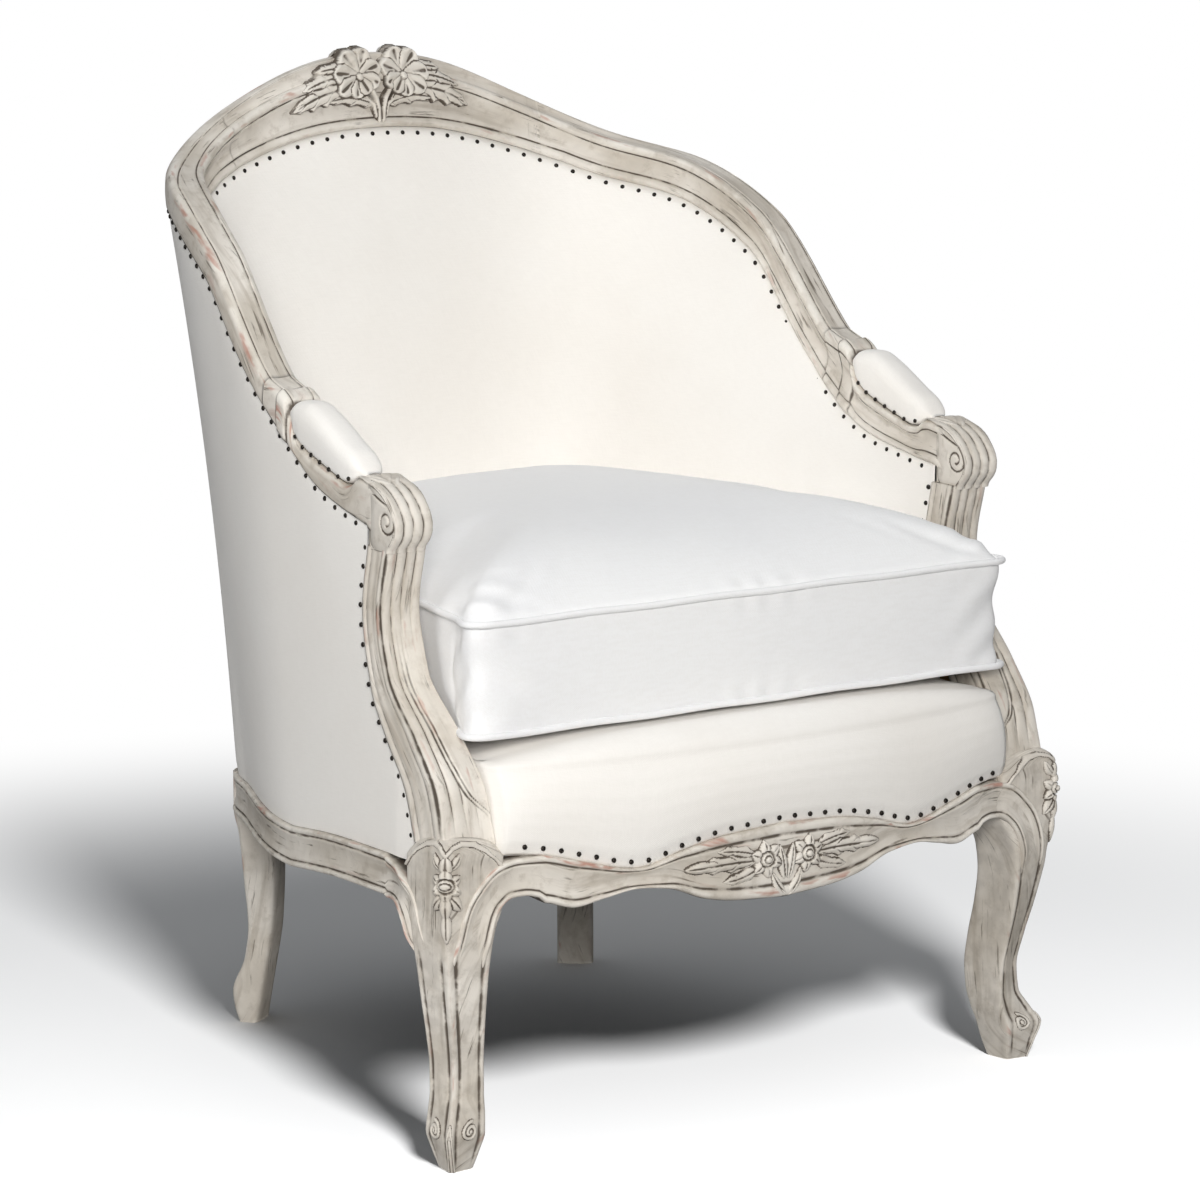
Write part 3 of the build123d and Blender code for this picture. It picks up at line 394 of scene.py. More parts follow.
def cloth_material(name, light, shade, weave=1100.0, flow=True):
    """Plain-weave cotton: crossed threads, slubs and a little soft sheen."""
    n = Nodes(bpy.data.materials.new(name))
    here = n.new("TexCoord").outputs["Object"]
    coords = n.mark("flow", "Vector") if flow else here
    slub_a = n.noise(n.stretch(coords, (60, 900, 300)), 1.0, 3)
    slub_b = n.noise(n.stretch(coords, (900, 60, 300)), 1.0, 3)
    slubs = n.math("MULTIPLY", n.math("ADD", slub_a, slub_b), 0.5)
    broad = n.noise(here, 4, 3)
    color = n.mix(n.steps(broad, 0.3, 0.7), shade, light)
    color = n.mix(n.steps(slubs, 0.42, 0.6, 0.0, 0.08), color, rgb(214, 209, 202))
    split = n.new("SeparateXYZ")
    n.put(split.inputs[0], n.stretch(coords, (weave * pi,) * 3))
    sines = [n.math("SINE", axis) for axis in split.outputs]
    threads = n.math("MULTIPLY", sines[0], sines[1])
    if not flow:
        # on upright faces the threads cross the height instead
        slant = n.math("SINE", n.math("ADD", split.outputs[0], split.outputs[1]))
        upright = n.math("MULTIPLY", slant, sines[2])
        facing = n.new("SeparateXYZ")
        n.put(facing.inputs[0], n.new("NewGeometry").outputs["Normal"])
        level = n.steps(n.math("ABSOLUTE", facing.outputs[2]), 0.5, 0.7)
        threads = n.math("ADD", n.math("MULTIPLY", threads, level),
                         n.math("MULTIPLY", upright, n.math("SUBTRACT", 1.0, level)))
    n.set(Base_Color=color, Roughness=0.9, Specular_IOR_Level=0.15, Sheen_Weight=0.25, Sheen_Roughness=0.5)
    bumps = n.bump(threads, 0.25, 0.0003)
    n.set(Normal=n.bump(slubs, 0.25, 0.0005, bumps))
    return n.owner

def plain_material(name, dark, light, rough, scale, metal=0.0, depth=0.0004):
    """Two-tone grained material for hidden wood, webbing and small metal."""
    n = Nodes(bpy.data.materials.new(name))
    here = n.new("TexCoord").outputs["Object"]
    grain = n.noise(n.stretch(here, scale), 1.0, 5, 0.6)
    n.set(Base_Color=n.mix(n.steps(grain, 0.35, 0.65), dark, light), Roughness=rough, Metallic=metal)
    n.set(Normal=n.bump(grain, 0.3, depth))
    return n.owner

PAINT = paint_material()
COVER = cloth_material("cover_cotton", rgb(252, 249, 244), rgb(248, 244, 238))
CUSHION = cloth_material("cushion_cotton", rgb(250, 250, 250), rgb(246, 246, 247), flow=False)
BARE = plain_material("bare_wood", rgb(148, 108, 70), rgb(186, 146, 104), 0.7, (40, 40, 6))
JUTE = plain_material("jute", rgb(128, 98, 62), rgb(168, 136, 92), 0.95, (700, 700, 700))
BLACK = plain_material("cambric", rgb(24, 24, 25), rgb(40, 40, 41), 0.95, (900, 900, 900))
STEEL = plain_material("screw_steel", rgb(120, 120, 122), rgb(165, 165, 166), 0.4, (200, 200, 200), 1.0)
NAIL = plain_material("nail_bronze", rgb(30, 27, 25), rgb(58, 52, 46), 0.45, (400, 400, 400), 0.7)

# Looks of the solids themselves, most of which lie hidden
for node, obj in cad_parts.items():
    if node.startswith(("tacking", "corner_block_front", "corner_block_rear")) or node == "frame_dowels":
        look = BARE
    elif node == "corner_block_screws":
        look = STEEL
    elif "webbing" in node or node == "hessian":
        look = JUTE
    elif node == "dust_cover":
        look = BLACK
    else:
        look = PAINT
    obj.data.materials.clear()
    obj.data.materials.append(look)

# Inside of the tub: one padded cover, which ends at the arm supports' rear edges
def inside_rows():
    stations = between(-2.95, -1.0, 60)[:-1]
    stations += [at_x(x) for x in between(-317.99, 317.99, 241)][1:-1]
    stations += between(1.0, 2.95, 60)[1:]
    rows = []
    for u in stations:
        high = inside_edge(u) - SEAM
        line = []
        for v in between(0, 1, 60):
            z = PAD_Z + (high - PAD_Z) * v
            # drawn in at the top where it is nailed
            dip = 2.2 * exp(-(1 - v) * (high - PAD_Z) / 7) if abs(u) < 2.7 else 0
            line.append(at(u, pad_face(u, z) + dip, z))
        # back over the top edge, hidden under the rail
        line.append(at(u, pad_face(u, high) + 6, high))
        rows.append([(x, max(y, rear_at(z) + 0.6), z) for x, y, z in line])
    return rows

inside = grid("inside_back_look", inside_rows(), flip=True)
dress(inside, COVER, "cover_cloth", nodes=["inside_back"])

# Outside covers
def outside_rows(stations):
    rows = []
    for u in stations:
        low, high = side_top(u) + SEAM, outside_edge(u) - SEAM
        line = []
        for v in between(0, 1, 50):
            z = low + (high - low) * v
            # drawn in at both edges where it is nailed
            dip = 1.6 * exp(-min(v, 1 - v) * (high - low) / 8)
            o = THICK - flare(u) * (1 - v) - 4 * sag(u) * v * (1 - v) - 1 - dip
            x, y, zz = at(u, o, z)
            line.append((x, max(y, rear_at(zz) + 0.5), zz))
        rows.append(line)
    return rows

back_cover = grid("outside_back_look", outside_rows(between(-LEG_AT, LEG_AT, 90)))
dress(back_cover, COVER, "cover_cloth", nodes=["outside_back"])
side_stations = between(LEG_AT, 1, 90)[:-1] + between(1, at_y(-243), 50)
side_cover = grid("outside_right_look", outside_rows(side_stations))
side_covers = both(side_cover, "outside", COVER, "cover_cloth", nodes=["outside"])

# Seat deck: a front that rolls up over the apron, then the platform under the cushion
DECK_HALF, ROLL_HALF = 291.0, 299.6  # half widths of the platform and of the roll
DECK_REAR, DECK_Z = 274.0, 391.0  # rear edge and height of the platform
ROLL_Z, ROLL_RISE, ROLL_BACK = 372.0, 22.0, 44.0  # where the roll turns over, its rise and its depth
# distance behind the apron's face, and share of the height up to where the roll turns over
ROLL = [(12, -1.0), (1.5, 0.0), (-4.2, 0.16), (-6.6, 0.36), (-6.8, 0.52), (-5, 0.68), (-0.5, 0.84), (6, 0.98)]
SHARES = between(-1, 1, 97)

def near_end(s, reach, half=DECK_HALF):
    """1 at the ends of the deck's rows, fading over a length."""
    return exp(-(1 - abs(s)) * half / reach)

def turned_back(line, back, down):
    """Row with both ends turned back, so that no gap opens beside the arm supports."""
    first, last = [(x, y + back, z - down) for x, y, z in (line[0], line[-1])]
    return [first] + line + [last]

def front_row(k):
    """Row up the front, at a place in ROLL."""
    i = min(int(k), len(ROLL) - 2)
    off, share = [a + (b - a) * (k - i) for a, b in zip(ROLL[i], ROLL[i + 1])]
    line = []
    for s in SHARES:
        x, end = ROLL_HALF * s, near_end(s, 12)
        low = front_top(x) + SEAM - 3 * end
        z = low + (ROLL_Z - low) * share if share >= 0 else low + share * 4
        line.append((x, front_face(x) + off + 6 * end * (0.3 + share), z))
    return turned_back(line, 60, 2)

def over_row(a):
    """Row over the roll's quarter turn, which falls away at the corners."""
    off = ROLL[-1][0] + ROLL_BACK * (1 - cos(a * pi / 2))
    line = []
    for s in SHARES:
        x = ROLL_HALF * s
        fall = 16 * near_end(s, 60) * min(1, a / 0.8)
        y = front_face(x) + off + 8 * near_end(s, 14) * (1 - a)
        line.append((x, y, ROLL_Z + ROLL_RISE * sin(a * pi / 2) - fall))
    return turned_back(line, 60, 2)

def platform_row(t, tub_y, tub_x):
    """Row of the platform, from the roll at 0 to the back at 1."""
    front = (1 - t) ** 4
    line = []
    for s in SHARES:
        start = front_face(DECK_HALF * s) + ROLL[-1][0] + ROLL_BACK
        y = start + (DECK_REAR - start) * t
        half = float(np.interp(y, tub_y, tub_x)) if y > tub_y[0] else DECK_HALF
        fall = (9 + 7 * front) * near_end(s, 12 + 48 * front, half)
        line.append((half * s, y, DECK_Z + 3 * (1 - t) - fall - (12 if t == 1 else 0)))
    return turned_back(line, 20, 6)

def deck_rows():
    stations = between(2.9, 1, 30) + between(0.98, 0.03, 60)
    tub = np.array([at(u, pad_face(u, PAD_Z) - 1.5, 0) for u in stations])
    rows = [front_row(k) for k in between(0, len(ROLL) - 1, 40)]
    rows += [over_row(a) for a in between(0.05, 1, 16)]
    return rows + [platform_row(t, tub[:, 1], np.minimum(tub[:, 0], DECK_HALF)) for t in between(0.04, 1, 60)]

deck = grid("seat_deck_look", deck_rows(), flip=True)
dress(deck, COVER, "cover_cloth", nodes=["seat_deck"])

# Cloth under the seat, tacked to the seat frame
def dust_rows():
    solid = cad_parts["dust_cover"]
    co = np.array([tuple(solid.matrix_world @ v.co) for v in solid.data.vertices]) * 1000
    co[:, 1] += MIDDLE
    z = co[:, 2].min() + 0.2
    rows = []
    for y in between(co[:, 1].min() + 1, co[:, 1].max() - 1, 70):
        # as wide as the solid where it has corners near this depth
        near = co[np.abs(co[:, 1] - y) < 14]
        half = np.abs(near[:, 0]).max() if len(near) else 250
        rows.append([(half * f, y, z) for f in between(-1, 1, 60)])
    return rows

dust = grid("dust_cover_look", dust_rows(), flip=True)
dress(dust, BLACK, "black_cloth", nodes=["dust_cover"])

# Arm pads: seat and top above the arm, and half width, by depth
PAD_SEAT = [(-141, 43), (-133, 37), (-123, 34.5), (-100, 40.5), (-75, 48.5), (-50, 58), (-35, 69), (-27, 84)]
PAD_TOP = [(-27.5, 97), (-31, 101.2), (-36, 102.8), (-50, 103), (-70, 96), (-90, 85.5), (-110, 74),
           (-128, 65), (-137, 57), (-143, 50), (-146, 46)]
PAD_HALF = [(-27.5, 15.2), (-36, 17.6), (-50, 18.6), (-90, 18.6), (-110, 18.2), (-128, 16.6), (-137, 14),
            (-143, 9.5), (-146, 5)]

def pad_rows():
    rows = []
    for y in between(-27.5, -145.5, 64):
        low, high = ARM_Z + smooth(PAD_SEAT, y) + 0.8, ARM_Z + smooth(PAD_TOP, y)
        half = smooth(PAD_HALF, y)
        ring = []
        for a in between(0, 2 * pi, 45)[:-1]:
            c, s = cos(a), sin(a)
            x = half * np.sign(c) * abs(c) ** 0.62 * (1.0 + 0.05 * (1 - s * s))
            z = (low + high) / 2 + (high - low) / 2 * np.sign(s) * abs(s) ** (0.8 if s > 0 else 0.35)
            ring.append((ARM_X + x, y, z))
        rows.append(ring)
    return rows

pad = grid("arm_pad_right_look", pad_rows(), wrap_n=True, caps=True)
for p in both(pad, "arm_pad", COVER, "cover_cloth", nodes=["arm_pad"]):
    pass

# Loose cushion
CUSHION_LOW, CUSHION_FRONT, CUSHION_HALF, CORNER = 394.4, -278, 318, 16
WELT_LOW, WELT_HIGH, CROWN = CUSHION_LOW + 8, CUSHION_LOW + 112, 66  # heights of the seams, rise of the crown
# steps in from the half width where the sides pass the arm supports, by depth
CUSHION_WAIST = [(5, -252), (12, -240), (16.5, -222), (20, -200), (24, -180), (28, -160), (31, -143),
                 (34, -128)]
CUSHION_STATIONS = (2.1, 1.9, 1.7, 1.5, 1.3, 1.15, 1, 0.94, 0.88, 0.82, 0.76, 0.7, 0.64, 0.58, 0.52, 0.46,
                    0.4, 0.34, 0.28, 0.22, 0.17, 0.12, 0.08, 0.05, 0.03, 0.015, 0.005, 0)

def steps_along(p):
    """Length of a line of points up to each of them."""
    return np.concatenate([[0], np.cumsum(np.linalg.norm(np.diff(p, axis=0), axis=1))])

def cushion_outline(z, count=300, grow=0.0):
    """Level outline of the cushion at one height, evenly stepped, from the middle of its front."""
    level = min(max(z, WELT_LOW), WELT_HIGH)
    front, half = CUSHION_FRONT - grow, CUSHION_HALF + grow
    line = [(x, front) for x in between(0, half - CORNER, 30)]
    line += [(half - CORNER + CORNER * sin(a), front + CORNER - CORNER * cos(a))
             for a in between(0.15, pi / 2, 8)]
    line += [(half - step, y) for step, y in CUSHION_WAIST]
    line += [at(u, pad_face(u, level) - 3 + grow, 0)[:2] for u in CUSHION_STATIONS]
    line += [(-x, y) for x, y in reversed(line[1:-1])]
    p = np.array(line + line[:1])
    s = steps_along(p)
    w = np.linspace(0, s[-1], count + 1)[:-1]
    q = np.stack([np.interp(w, s, p[:, 0]), np.interp(w, s, p[:, 1])], -1)
    for _ in range(3):
        q = (np.roll(q, 1, 0) + 2 * q + np.roll(q, -1, 0)) / 4
    return q

def cushion_rows():
    """Rows from the middle of the underside round the boxing to the top of the crown."""
    middle = np.array([0, -10])
    levels = [(CUSHION_LOW, s) for s in (0.02, 0.2, 0.4, 0.6, 0.78, 0.88)]
    levels += [(CUSHION_LOW + 1.5, 0.94), (CUSHION_LOW + 4.5, 0.985), (WELT_LOW, 1.0)]
    boxing = WELT_HIGH - WELT_LOW
    levels += [(z, 1 - 0.010 * sin(pi * (z - WELT_LOW) / boxing))
               for z in between(WELT_LOW, WELT_HIGH, 14)[1:-1]]
    levels += [(WELT_HIGH, 1.0)]
    crown = [(0.02, 1), (0.3, 0.985), (0.54, 0.91), (0.72, 0.73), (0.87, 0.48), (0.965, 0.2), (1, 0)]
    levels += [(WELT_HIGH + CROWN * smooth(crown, s), s) for s in between(0.985, 0.03, 34) + [0.004]]
    rows = []
    for z, s in levels:
        rows.append([(x, y, z) for x, y in middle + (cushion_outline(z) - middle) * s])
    return rows

cushion = grid("seat_cushion_look", cushion_rows(), wrap_n=True, caps=True)

def near_welt(points):
    """How close points (in metres) are to the cushion's two seams."""
    p = points * 1000
    p[:, 1] += MIDDLE
    best = np.full(len(p), 1e9)
    for z in (WELT_LOW, WELT_HIGH):
        o = cushion_outline(z, 700)
        near = np.where(np.abs(p[:, 2] - z) < 40)[0]
        for chunk in np.array_split(near, max(1, len(near) // 2000)):
            d = np.linalg.norm(p[chunk][:, None, :2] - o[None], axis=2).min(1)
            best[chunk] = np.minimum(best[chunk], np.hypot(d, p[chunk][:, 2] - z))
    return best

def apply_modifiers(obj):
    """Keep what the modifiers make as the piece's mesh."""
    deps = bpy.context.evaluated_depsgraph_get()
    data = bpy.data.meshes.new_from_object(obj.evaluated_get(deps))
    obj.modifiers.clear()
    obj.data = data

def simulate(obj, pressure, frames, cap, voxel):
    """Swell a stuffed piece with its seams held, as its filling does."""
    remesh = obj.modifiers.new("remesh", "REMESH")
    remesh.mode = "VOXEL"
    remesh.voxel_size = voxel
    remesh.use_smooth_shade = True
    apply_modifiers(obj)
    co = np.empty(len(obj.data.vertices) * 3)
    obj.data.vertices.foreach_get("co", co)
    start = co.reshape(-1, 3).copy()
    gap = near_welt(start.copy())
    under = start[:, 2] * 1000 < WELT_LOW - 1
    held = obj.vertex_groups.new(name="seams")
    held.add(np.where((gap < 7) | under)[0].tolist(), 1.0, "REPLACE")
    cloth = obj.modifiers.new("cloth", "CLOTH")
    s = cloth.settings
    s.quality = 5
    s.mass = 0.3
    s.tension_stiffness = s.compression_stiffness = 12
    s.shear_stiffness = 5
    s.bending_stiffness = 0.6
    s.use_pressure = True
    s.uniform_pressure_force = pressure
    s.vertex_group_mass = "seams"
    s.effector_weights.gravity = 0
    cloth.collision_settings.use_collision = False
    for f in range(1, frames + 1):
        scene.frame_set(f)
    apply_modifiers(obj)
    obj.data.vertices.foreach_get("co", co)
    end = co.reshape(-1, 3)
    move = end - start
    size = np.linalg.norm(move, axis=1, keepdims=True)
    end = start + move * np.minimum(1, cap / np.maximum(size, 1e-9))
    obj.data.vertices.foreach_set("co", end.ravel())
    obj.vertex_groups.clear()
    scene.frame_set(1)

simulate(cushion, pressure=4.0, frames=20, cap=0.012, voxel=0.006)

def pucker(obj):
    """Small gathers along the seams, and creases at the front corners."""
    co = np.empty(len(obj.data.vertices) * 3)
    no = np.empty(len(obj.data.vertices) * 3)
    obj.data.vertices.foreach_get("co", co)
    obj.data.vertices.foreach_get("normal", no)
    p, n = co.reshape(-1, 3), no.reshape(-1, 3)
    gap = near_welt(p.copy())
    mm = p * 1000
    mm[:, 1] += MIDDLE
    run = np.where(np.abs(n[:, 1]) > np.abs(n[:, 0]), mm[:, 0], mm[:, 1])
    wave = np.sin(run / 6.1 + 2.2 * np.sin(run / 37)) * (0.5 + 0.5 * np.sin(run / 53 + 1.3)) ** 2
    small = 0.8 * wave * np.exp(-((gap - 9) / 9) ** 2)
    corner = np.exp(-(((np.abs(mm[:, 0]) - 305) / 45) ** 2 + ((mm[:, 1] + 262) / 42) ** 2))
    slant = mm[:, 2] - 0.75 * (np.abs(mm[:, 0]) - mm[:, 1])
    folds = np.sin(slant / 7.5) * 2.0 * corner * np.minimum(1, gap / 14)
    soft = 1.3 * np.sin(mm[:, 0] / 61 + 1.1) * np.sin(mm[:, 1] / 73 + 0.4) * np.minimum(1, gap / 60)
    move = np.where(mm[:, 2] > WELT_LOW + 2, small + folds + soft, 0) / 1000
    obj.data.vertices.foreach_set("co", (p + n * move[:, None]).ravel())
    obj.data.polygons.foreach_set("use_smooth", [True] * len(obj.data.polygons))
    obj.data.update()

pucker(cushion)
finer = cushion.modifiers.new("finer", "SUBSURF")
finer.levels = finer.render_levels = 1
apply_modifiers(cushion)
dress(cushion, CUSHION, "cushion_cover", LOOSE, ["seat_cushion"])

def welt(name, path, radius, sides=10):
    """Round cord along a closed line of points."""
    p = np.array(path, float)
    t = np.roll(p, -1, 0) - np.roll(p, 1, 0)
    t /= np.linalg.norm(t, axis=1, keepdims=True)
    side = np.cross(t, (0.0, 0.0, 1.0))
    side /= np.linalg.norm(side, axis=1, keepdims=True)
    lift = np.cross(side, t)
    a = np.linspace(0, 2 * pi, sides, endpoint=False)[:, None]
    ring = p[:, None] + radius * (np.cos(a) * side[:, None] + np.sin(a) * lift[:, None])
    return grid(name, ring, wrap_m=True, wrap_n=True)

for z, tag in ((WELT_HIGH, "upper"), (WELT_LOW, "lower")):
    line = [(x, y, z + 0.5 * sin(x / 23 + y / 31)) for x, y in cushion_outline(z, 420, 1.2)]
    piping = welt("cushion_welt_" + tag, line, 3.3)
    dress(piping, CUSHION, "cushion_cover", LOOSE)

# Moulded wood: profiles are (outset, height, wax, wear) points walked with the wood on the right
def bow(a, b, lift, n=8, wax=0.0, wear=0.0, sharp=1.0):
    """Points from a towards b, on a curve that swells to the left of the way or, with lift below 0, sinks."""
    dx, dz = b[0] - a[0], b[1] - a[1]
    k = hypot(dx, dz) or 1.0
    out = []
    for i in range(n):
        t = i / n
        w = sin(pi * t) ** sharp
        out.append((a[0] + dx * t - dz / k * lift * w, a[1] + dz * t + dx / k * lift * w, wax * w, wear * w))
    return out

def rail_profile(low, z, outer_low, back_low, k, edge, rise):
    """Section of the top rail and arm: bead, cove, ridge bead, hollow top and rounded outer edge."""
    brink = z + rise - 9 * k
    p = bow((1.2, low), (1.2, low + 8.5 * k), 3.2, 9, 0, 0.5)
    p += bow((1.2, low + 8.5 * k), (1.0, low + 11 * k), -1.8, 5, 1.0)
    p += bow((1.0, low + 11 * k), (0.5, z - 10.5 * k), -4.5, 14, 0.22)
    p += bow((0.5, z - 10.5 * k), (0.3, z - 8.3 * k), -1.6, 5, 1.0)
    p += bow((0.3, z - 8.3 * k), (6.5, z + 0.3), 3.4, 10, 0, 1.0)
    p += bow((6.5, z + 0.3), (8.6, z + 0.4), -1.5, 5, 1.0)
    p += bow((8.6, z + 0.4), (edge - 3, z + rise), -0.9 - 0.08 * rise, 10, 0.12)
    p += bow((edge - 3, z + rise), (edge - 1, z + rise + 0.2), -1.3, 5, 1.0)
    p += bow((edge - 1, z + rise + 0.2), (THICK, brink), 2.4 + 2 * (32 - edge) / 22, 10, 0, 0.9)
    p += bow((THICK, brink), (THICK, outer_low), 0.6, 8, 0.1, 0.3)
    p += [(THICK, outer_low, 0.8, 0), (THICK - 12, outer_low, 1, 0), (back_low, low, 1, 0), (4, low, 1, 0)]
    return p

def outside_lean(u, z):
    """Outset of the outside covers at one height."""
    low = side_top(u)
    v = (z - low) / (outside_edge(u) - low)
    return THICK - flare(u) * (1 - v) - 4 * sag(u) * v * (1 - v)

def rail_at(u):
    """Section of the top rail: its back rises and thickens towards the crest."""
    k, z = steep(u), ridge_z(u)
    rise = smooth([(0, 18), (0.1, 12.6), (0.3, 7), (0.6, 1.5), (1, 0)], abs(u))
    edge = smooth([(0, 13), (0.17, 15), (0.39, 21), (0.6, 32)], abs(u))
    low = z - face_drop(u)
    return rail_profile(low, z, z - outer_drop(u), outside_lean(u, low) - 12.2, k, edge, rise)

def swept(name, profiles, place):
    """Sweep of one profile per station; place turns a station's (outset, height) into a point."""
    rows = [[(*place(i, o, z), wax, wear) for o, z, wax, wear in p] for i, p in enumerate(profiles)]
    return marked(name, rows, wrap_n=True, caps=True)

def rail(name, stations):
    """One length of the top rail."""
    return swept(name, [rail_at(u) for u in stations], lambda i, o, z: at(stations[i], o, z))

CREST_HALF, CREST_AT = 188.96, 0.19  # half length of the crest rail, and station where the next starts
crest = rail("crest_rail_look", [at_x(x) for x in between(-CREST_HALF, CREST_HALF, 141)])
dress(crest, PAINT, "painted_wood", nodes=["crest_rail"])
top_rail = rail("top_rail_right_look", between(CREST_AT, 1, 170))
both(top_rail, "top_rail", PAINT, "painted_wood", nodes=["top_rail"])

# Arms: the same moulding along the hollow of the pad, with a collar behind the pad
ARM_TOP = [(JOINT_Y, JOINT_Z), (-24, 687), (-27.5, 671), (-33, 656), (-50, 644), (-75, 634.5), (-100, 626.5),
           (-123, 620.5), (-133, 622), (-141, 628), (-150, 630), (-165, 628), (-184, 626)]
ARM_YS = between(JOINT_Y, -23.5, 50) + between(-24, -38, 24) + between(-39.5, -176, 90)

def arm_profile(y):
    """Section of the arm, with wax in the rings of its collar and wear between them."""
    z = smooth(ARM_TOP, y)
    low, out_low = smooth(ARM_IN, y), smooth(ARM_OUT, y)
    if y < REAR_Y:
        low = out_low = ARM_Z - 6 * (REAR_Y - y) / 12
    k = max(0.55, min(1.3, (z - low) / 42))
    rings = exp(-((y + 7.6) / 1.2) ** 2) + exp(-((y + 25.5) / 1.4) ** 2)
    rubbed = 0.8 if -24 < y < -9 else 0
    section = rail_profile(low, z, min(out_low, z - 10 * k), 22, k, 32, 0)
    return [(o, h, min(1, wax + 0.9 * rings), wear + rubbed * (1 if wear else 0.15))
            for o, h, wax, wear in section]

def arm_place(i, o, z):
    """Point of the arm, thicker at its collar."""
    y = ARM_YS[i]
    collar = exp(-((y + 16.5) / 7.5) ** 8)
    lift = 2.6 * collar * (1 if z > smooth(ARM_TOP, y) - 20 else 0.2)
    return (ARM_X + (o - THICK / 2) * (1 + 0.11 * collar), y, z + lift)

arm = swept("arm_right_look", [arm_profile(y) for y in ARM_YS], arm_place)
both(arm, "arm", PAINT, "painted_wood", nodes=["arm"])

# Arm end: reeds roll over the front, and the side faces carry a line that curls into a volute
SCROLL_IN, SCROLL_OUT, REEDS = 315.5, 358.5, 4
SCROLL_LINE = [(-144, 631), (-152, 632), (-162, 631), (-172, 629), (-182, 626), (-191, 621.5), (-199, 615.5),
               (-206, 608), (-211, 600), (-213, 592), (-212, 584), (-208.5, 577.5), (-204, 572.5),
               (-201, 569), (-200, 566)]

def reed(f):
    """Height of a row of reeds, 0 in the grooves and 1 on their crowns, for a share of the width."""
    t = (f * REEDS) % 1.0
    return sqrt(max(0.0, 1 - (2 * t - 1) ** 2))

def smooth_path(points, n):
    """Even points on a smooth line through a few points."""
    p = np.array(points, float)
    s = steps_along(p)
    return np.array([row_at(np.column_stack([s, p]).tolist(), w) for w in np.linspace(0, s[-1], n)])

def scroll_rim():
    line = smooth_path(SCROLL_LINE, 110)
    t = np.gradient(line, axis=0)
    t /= np.linalg.norm(t, axis=1, keepdims=True)
    rows = []
    for (y, z), (ty, tz) in zip(line, t):
        row = []
        start = min(1, max(0, (-y - 158) / 16))
        for f in between(0, 1, 61):
            h = reed(f) * start + (1 - start) * 0.9
            # a leaf lies over the start of the reeds
            q = abs(f - 0.5) / 0.36
            length = (-y - 148) / 34
            if 0 < length < 1 and q < sin(pi * length ** 0.7) ** 0.7:
                h = 1.25 - 0.5 * exp(-(q / 0.2) ** 2) - 0.35 * (sin(9 * length + 6 * q) > 0.55)
            lift = -2.8 + 3.0 * h
            x = SCROLL_IN + (SCROLL_OUT - SCROLL_IN) * f
            wax, wear = min(1, max(0, 1.1 - 1.3 * h)), max(0, h - 0.75) * 2.0
            row.append((x, y + tz * lift, z - ty * lift, wax, wear))
        rows.append(row)
    return marked("scroll_rim_right", rows)

# Arm supports: reeds down the front, a broad leaf low on the inner half, moulded sides
LEAF_LINE = [(325, 0.0), (331, 0.06), (341, 0.24), (352, 0.42), (370, 0.53), (388, 0.58), (430, 0.62),
             (520, 0.66)]

# share of the depth, swell and wax down the moulded sides
SUPPORT_SIDE = [(0.06, 0, 0.9), (0.12, 1.2, 0), (0.2, 1.6, 0), (0.27, 0.2, 0), (0.3, -1.2, 0.6),
                (0.34, 0, 0.1), (0.5, -1.6, 0.1), (0.66, -1.2, 0.1), (0.76, 0.2, 0.1), (0.8, -1.0, 0.6),
                (0.84, 0.4, 0), (0.92, 1.4, 0), (1.0, 0.6, 0.4)]
SUPPORT_AT = between(0, 1, 150)

def support_row(t):
    """Level section of the support at a share of its height: (x, y, wax, wear) points."""
    front, rear = support_front(t) + 3.4, support_rear(t)
    left, right = support_in(t), HALF + THICK
    z = BASE_Z + RISE * t
    edge = smooth(LEAF_LINE, z)
    low = smooth([(318, 0), (345, 1)], z)
    leaf_fade = smooth([(480, 1), (535, 0)], z)
    line_fade = low * smooth([(440, 1), (500, 0)], z)
    p = []
    for f in between(0, 1, 61):
        across = (f - edge) * (right - left)
        inner = leaf_fade / (1 + exp(min(50, across / 1.5)))
        on_leaf = 0.95 + 0.2 * sin(pi * min(1, f / max(edge, 0.05)))
        h = reed(f) * (1 - inner) * low + inner * on_leaf + (1 - low) * (1 - inner) * 0.8
        # a double line borders the leaf
        lines = line_fade * max(exp(-(across / 1.3) ** 2), exp(-((across + 4.5) / 1.1) ** 2))
        wax, wear = min(1, max((1 - h) ** 2 * 1.2, lines)), max(0, h - 0.75) * 1.6
        p.append((left + (right - left) * f, front - 3.6 * h + 1.8 * lines, wax, wear))
    for face, way, side in ((right, 1, SUPPORT_SIDE), (left, -1, SUPPORT_SIDE[::-1])):
        p += [(face + way * (out - 0.8), front + (rear - front) * s, wax, 0.6 if out > 1 else 0)
              for s, out, wax in side]
    return p

support = swept("arm_support_right_look", [support_row(t) for t in SUPPORT_AT],
                lambda i, x, y: (x, y, BASE_Z + RISE * SUPPORT_AT[i]))
both(support, "arm_support", PAINT, "painted_wood", nodes=["arm_support"])
both(scroll_rim(), "scroll_rim", PAINT, "painted_wood")

# Front legs, apron and seat rails
FOOT_X, FOOT_Y, BLOCK_Z, BLOCK_REACH = 334.0, -270.0, 252.0, 68 / sqrt(2)
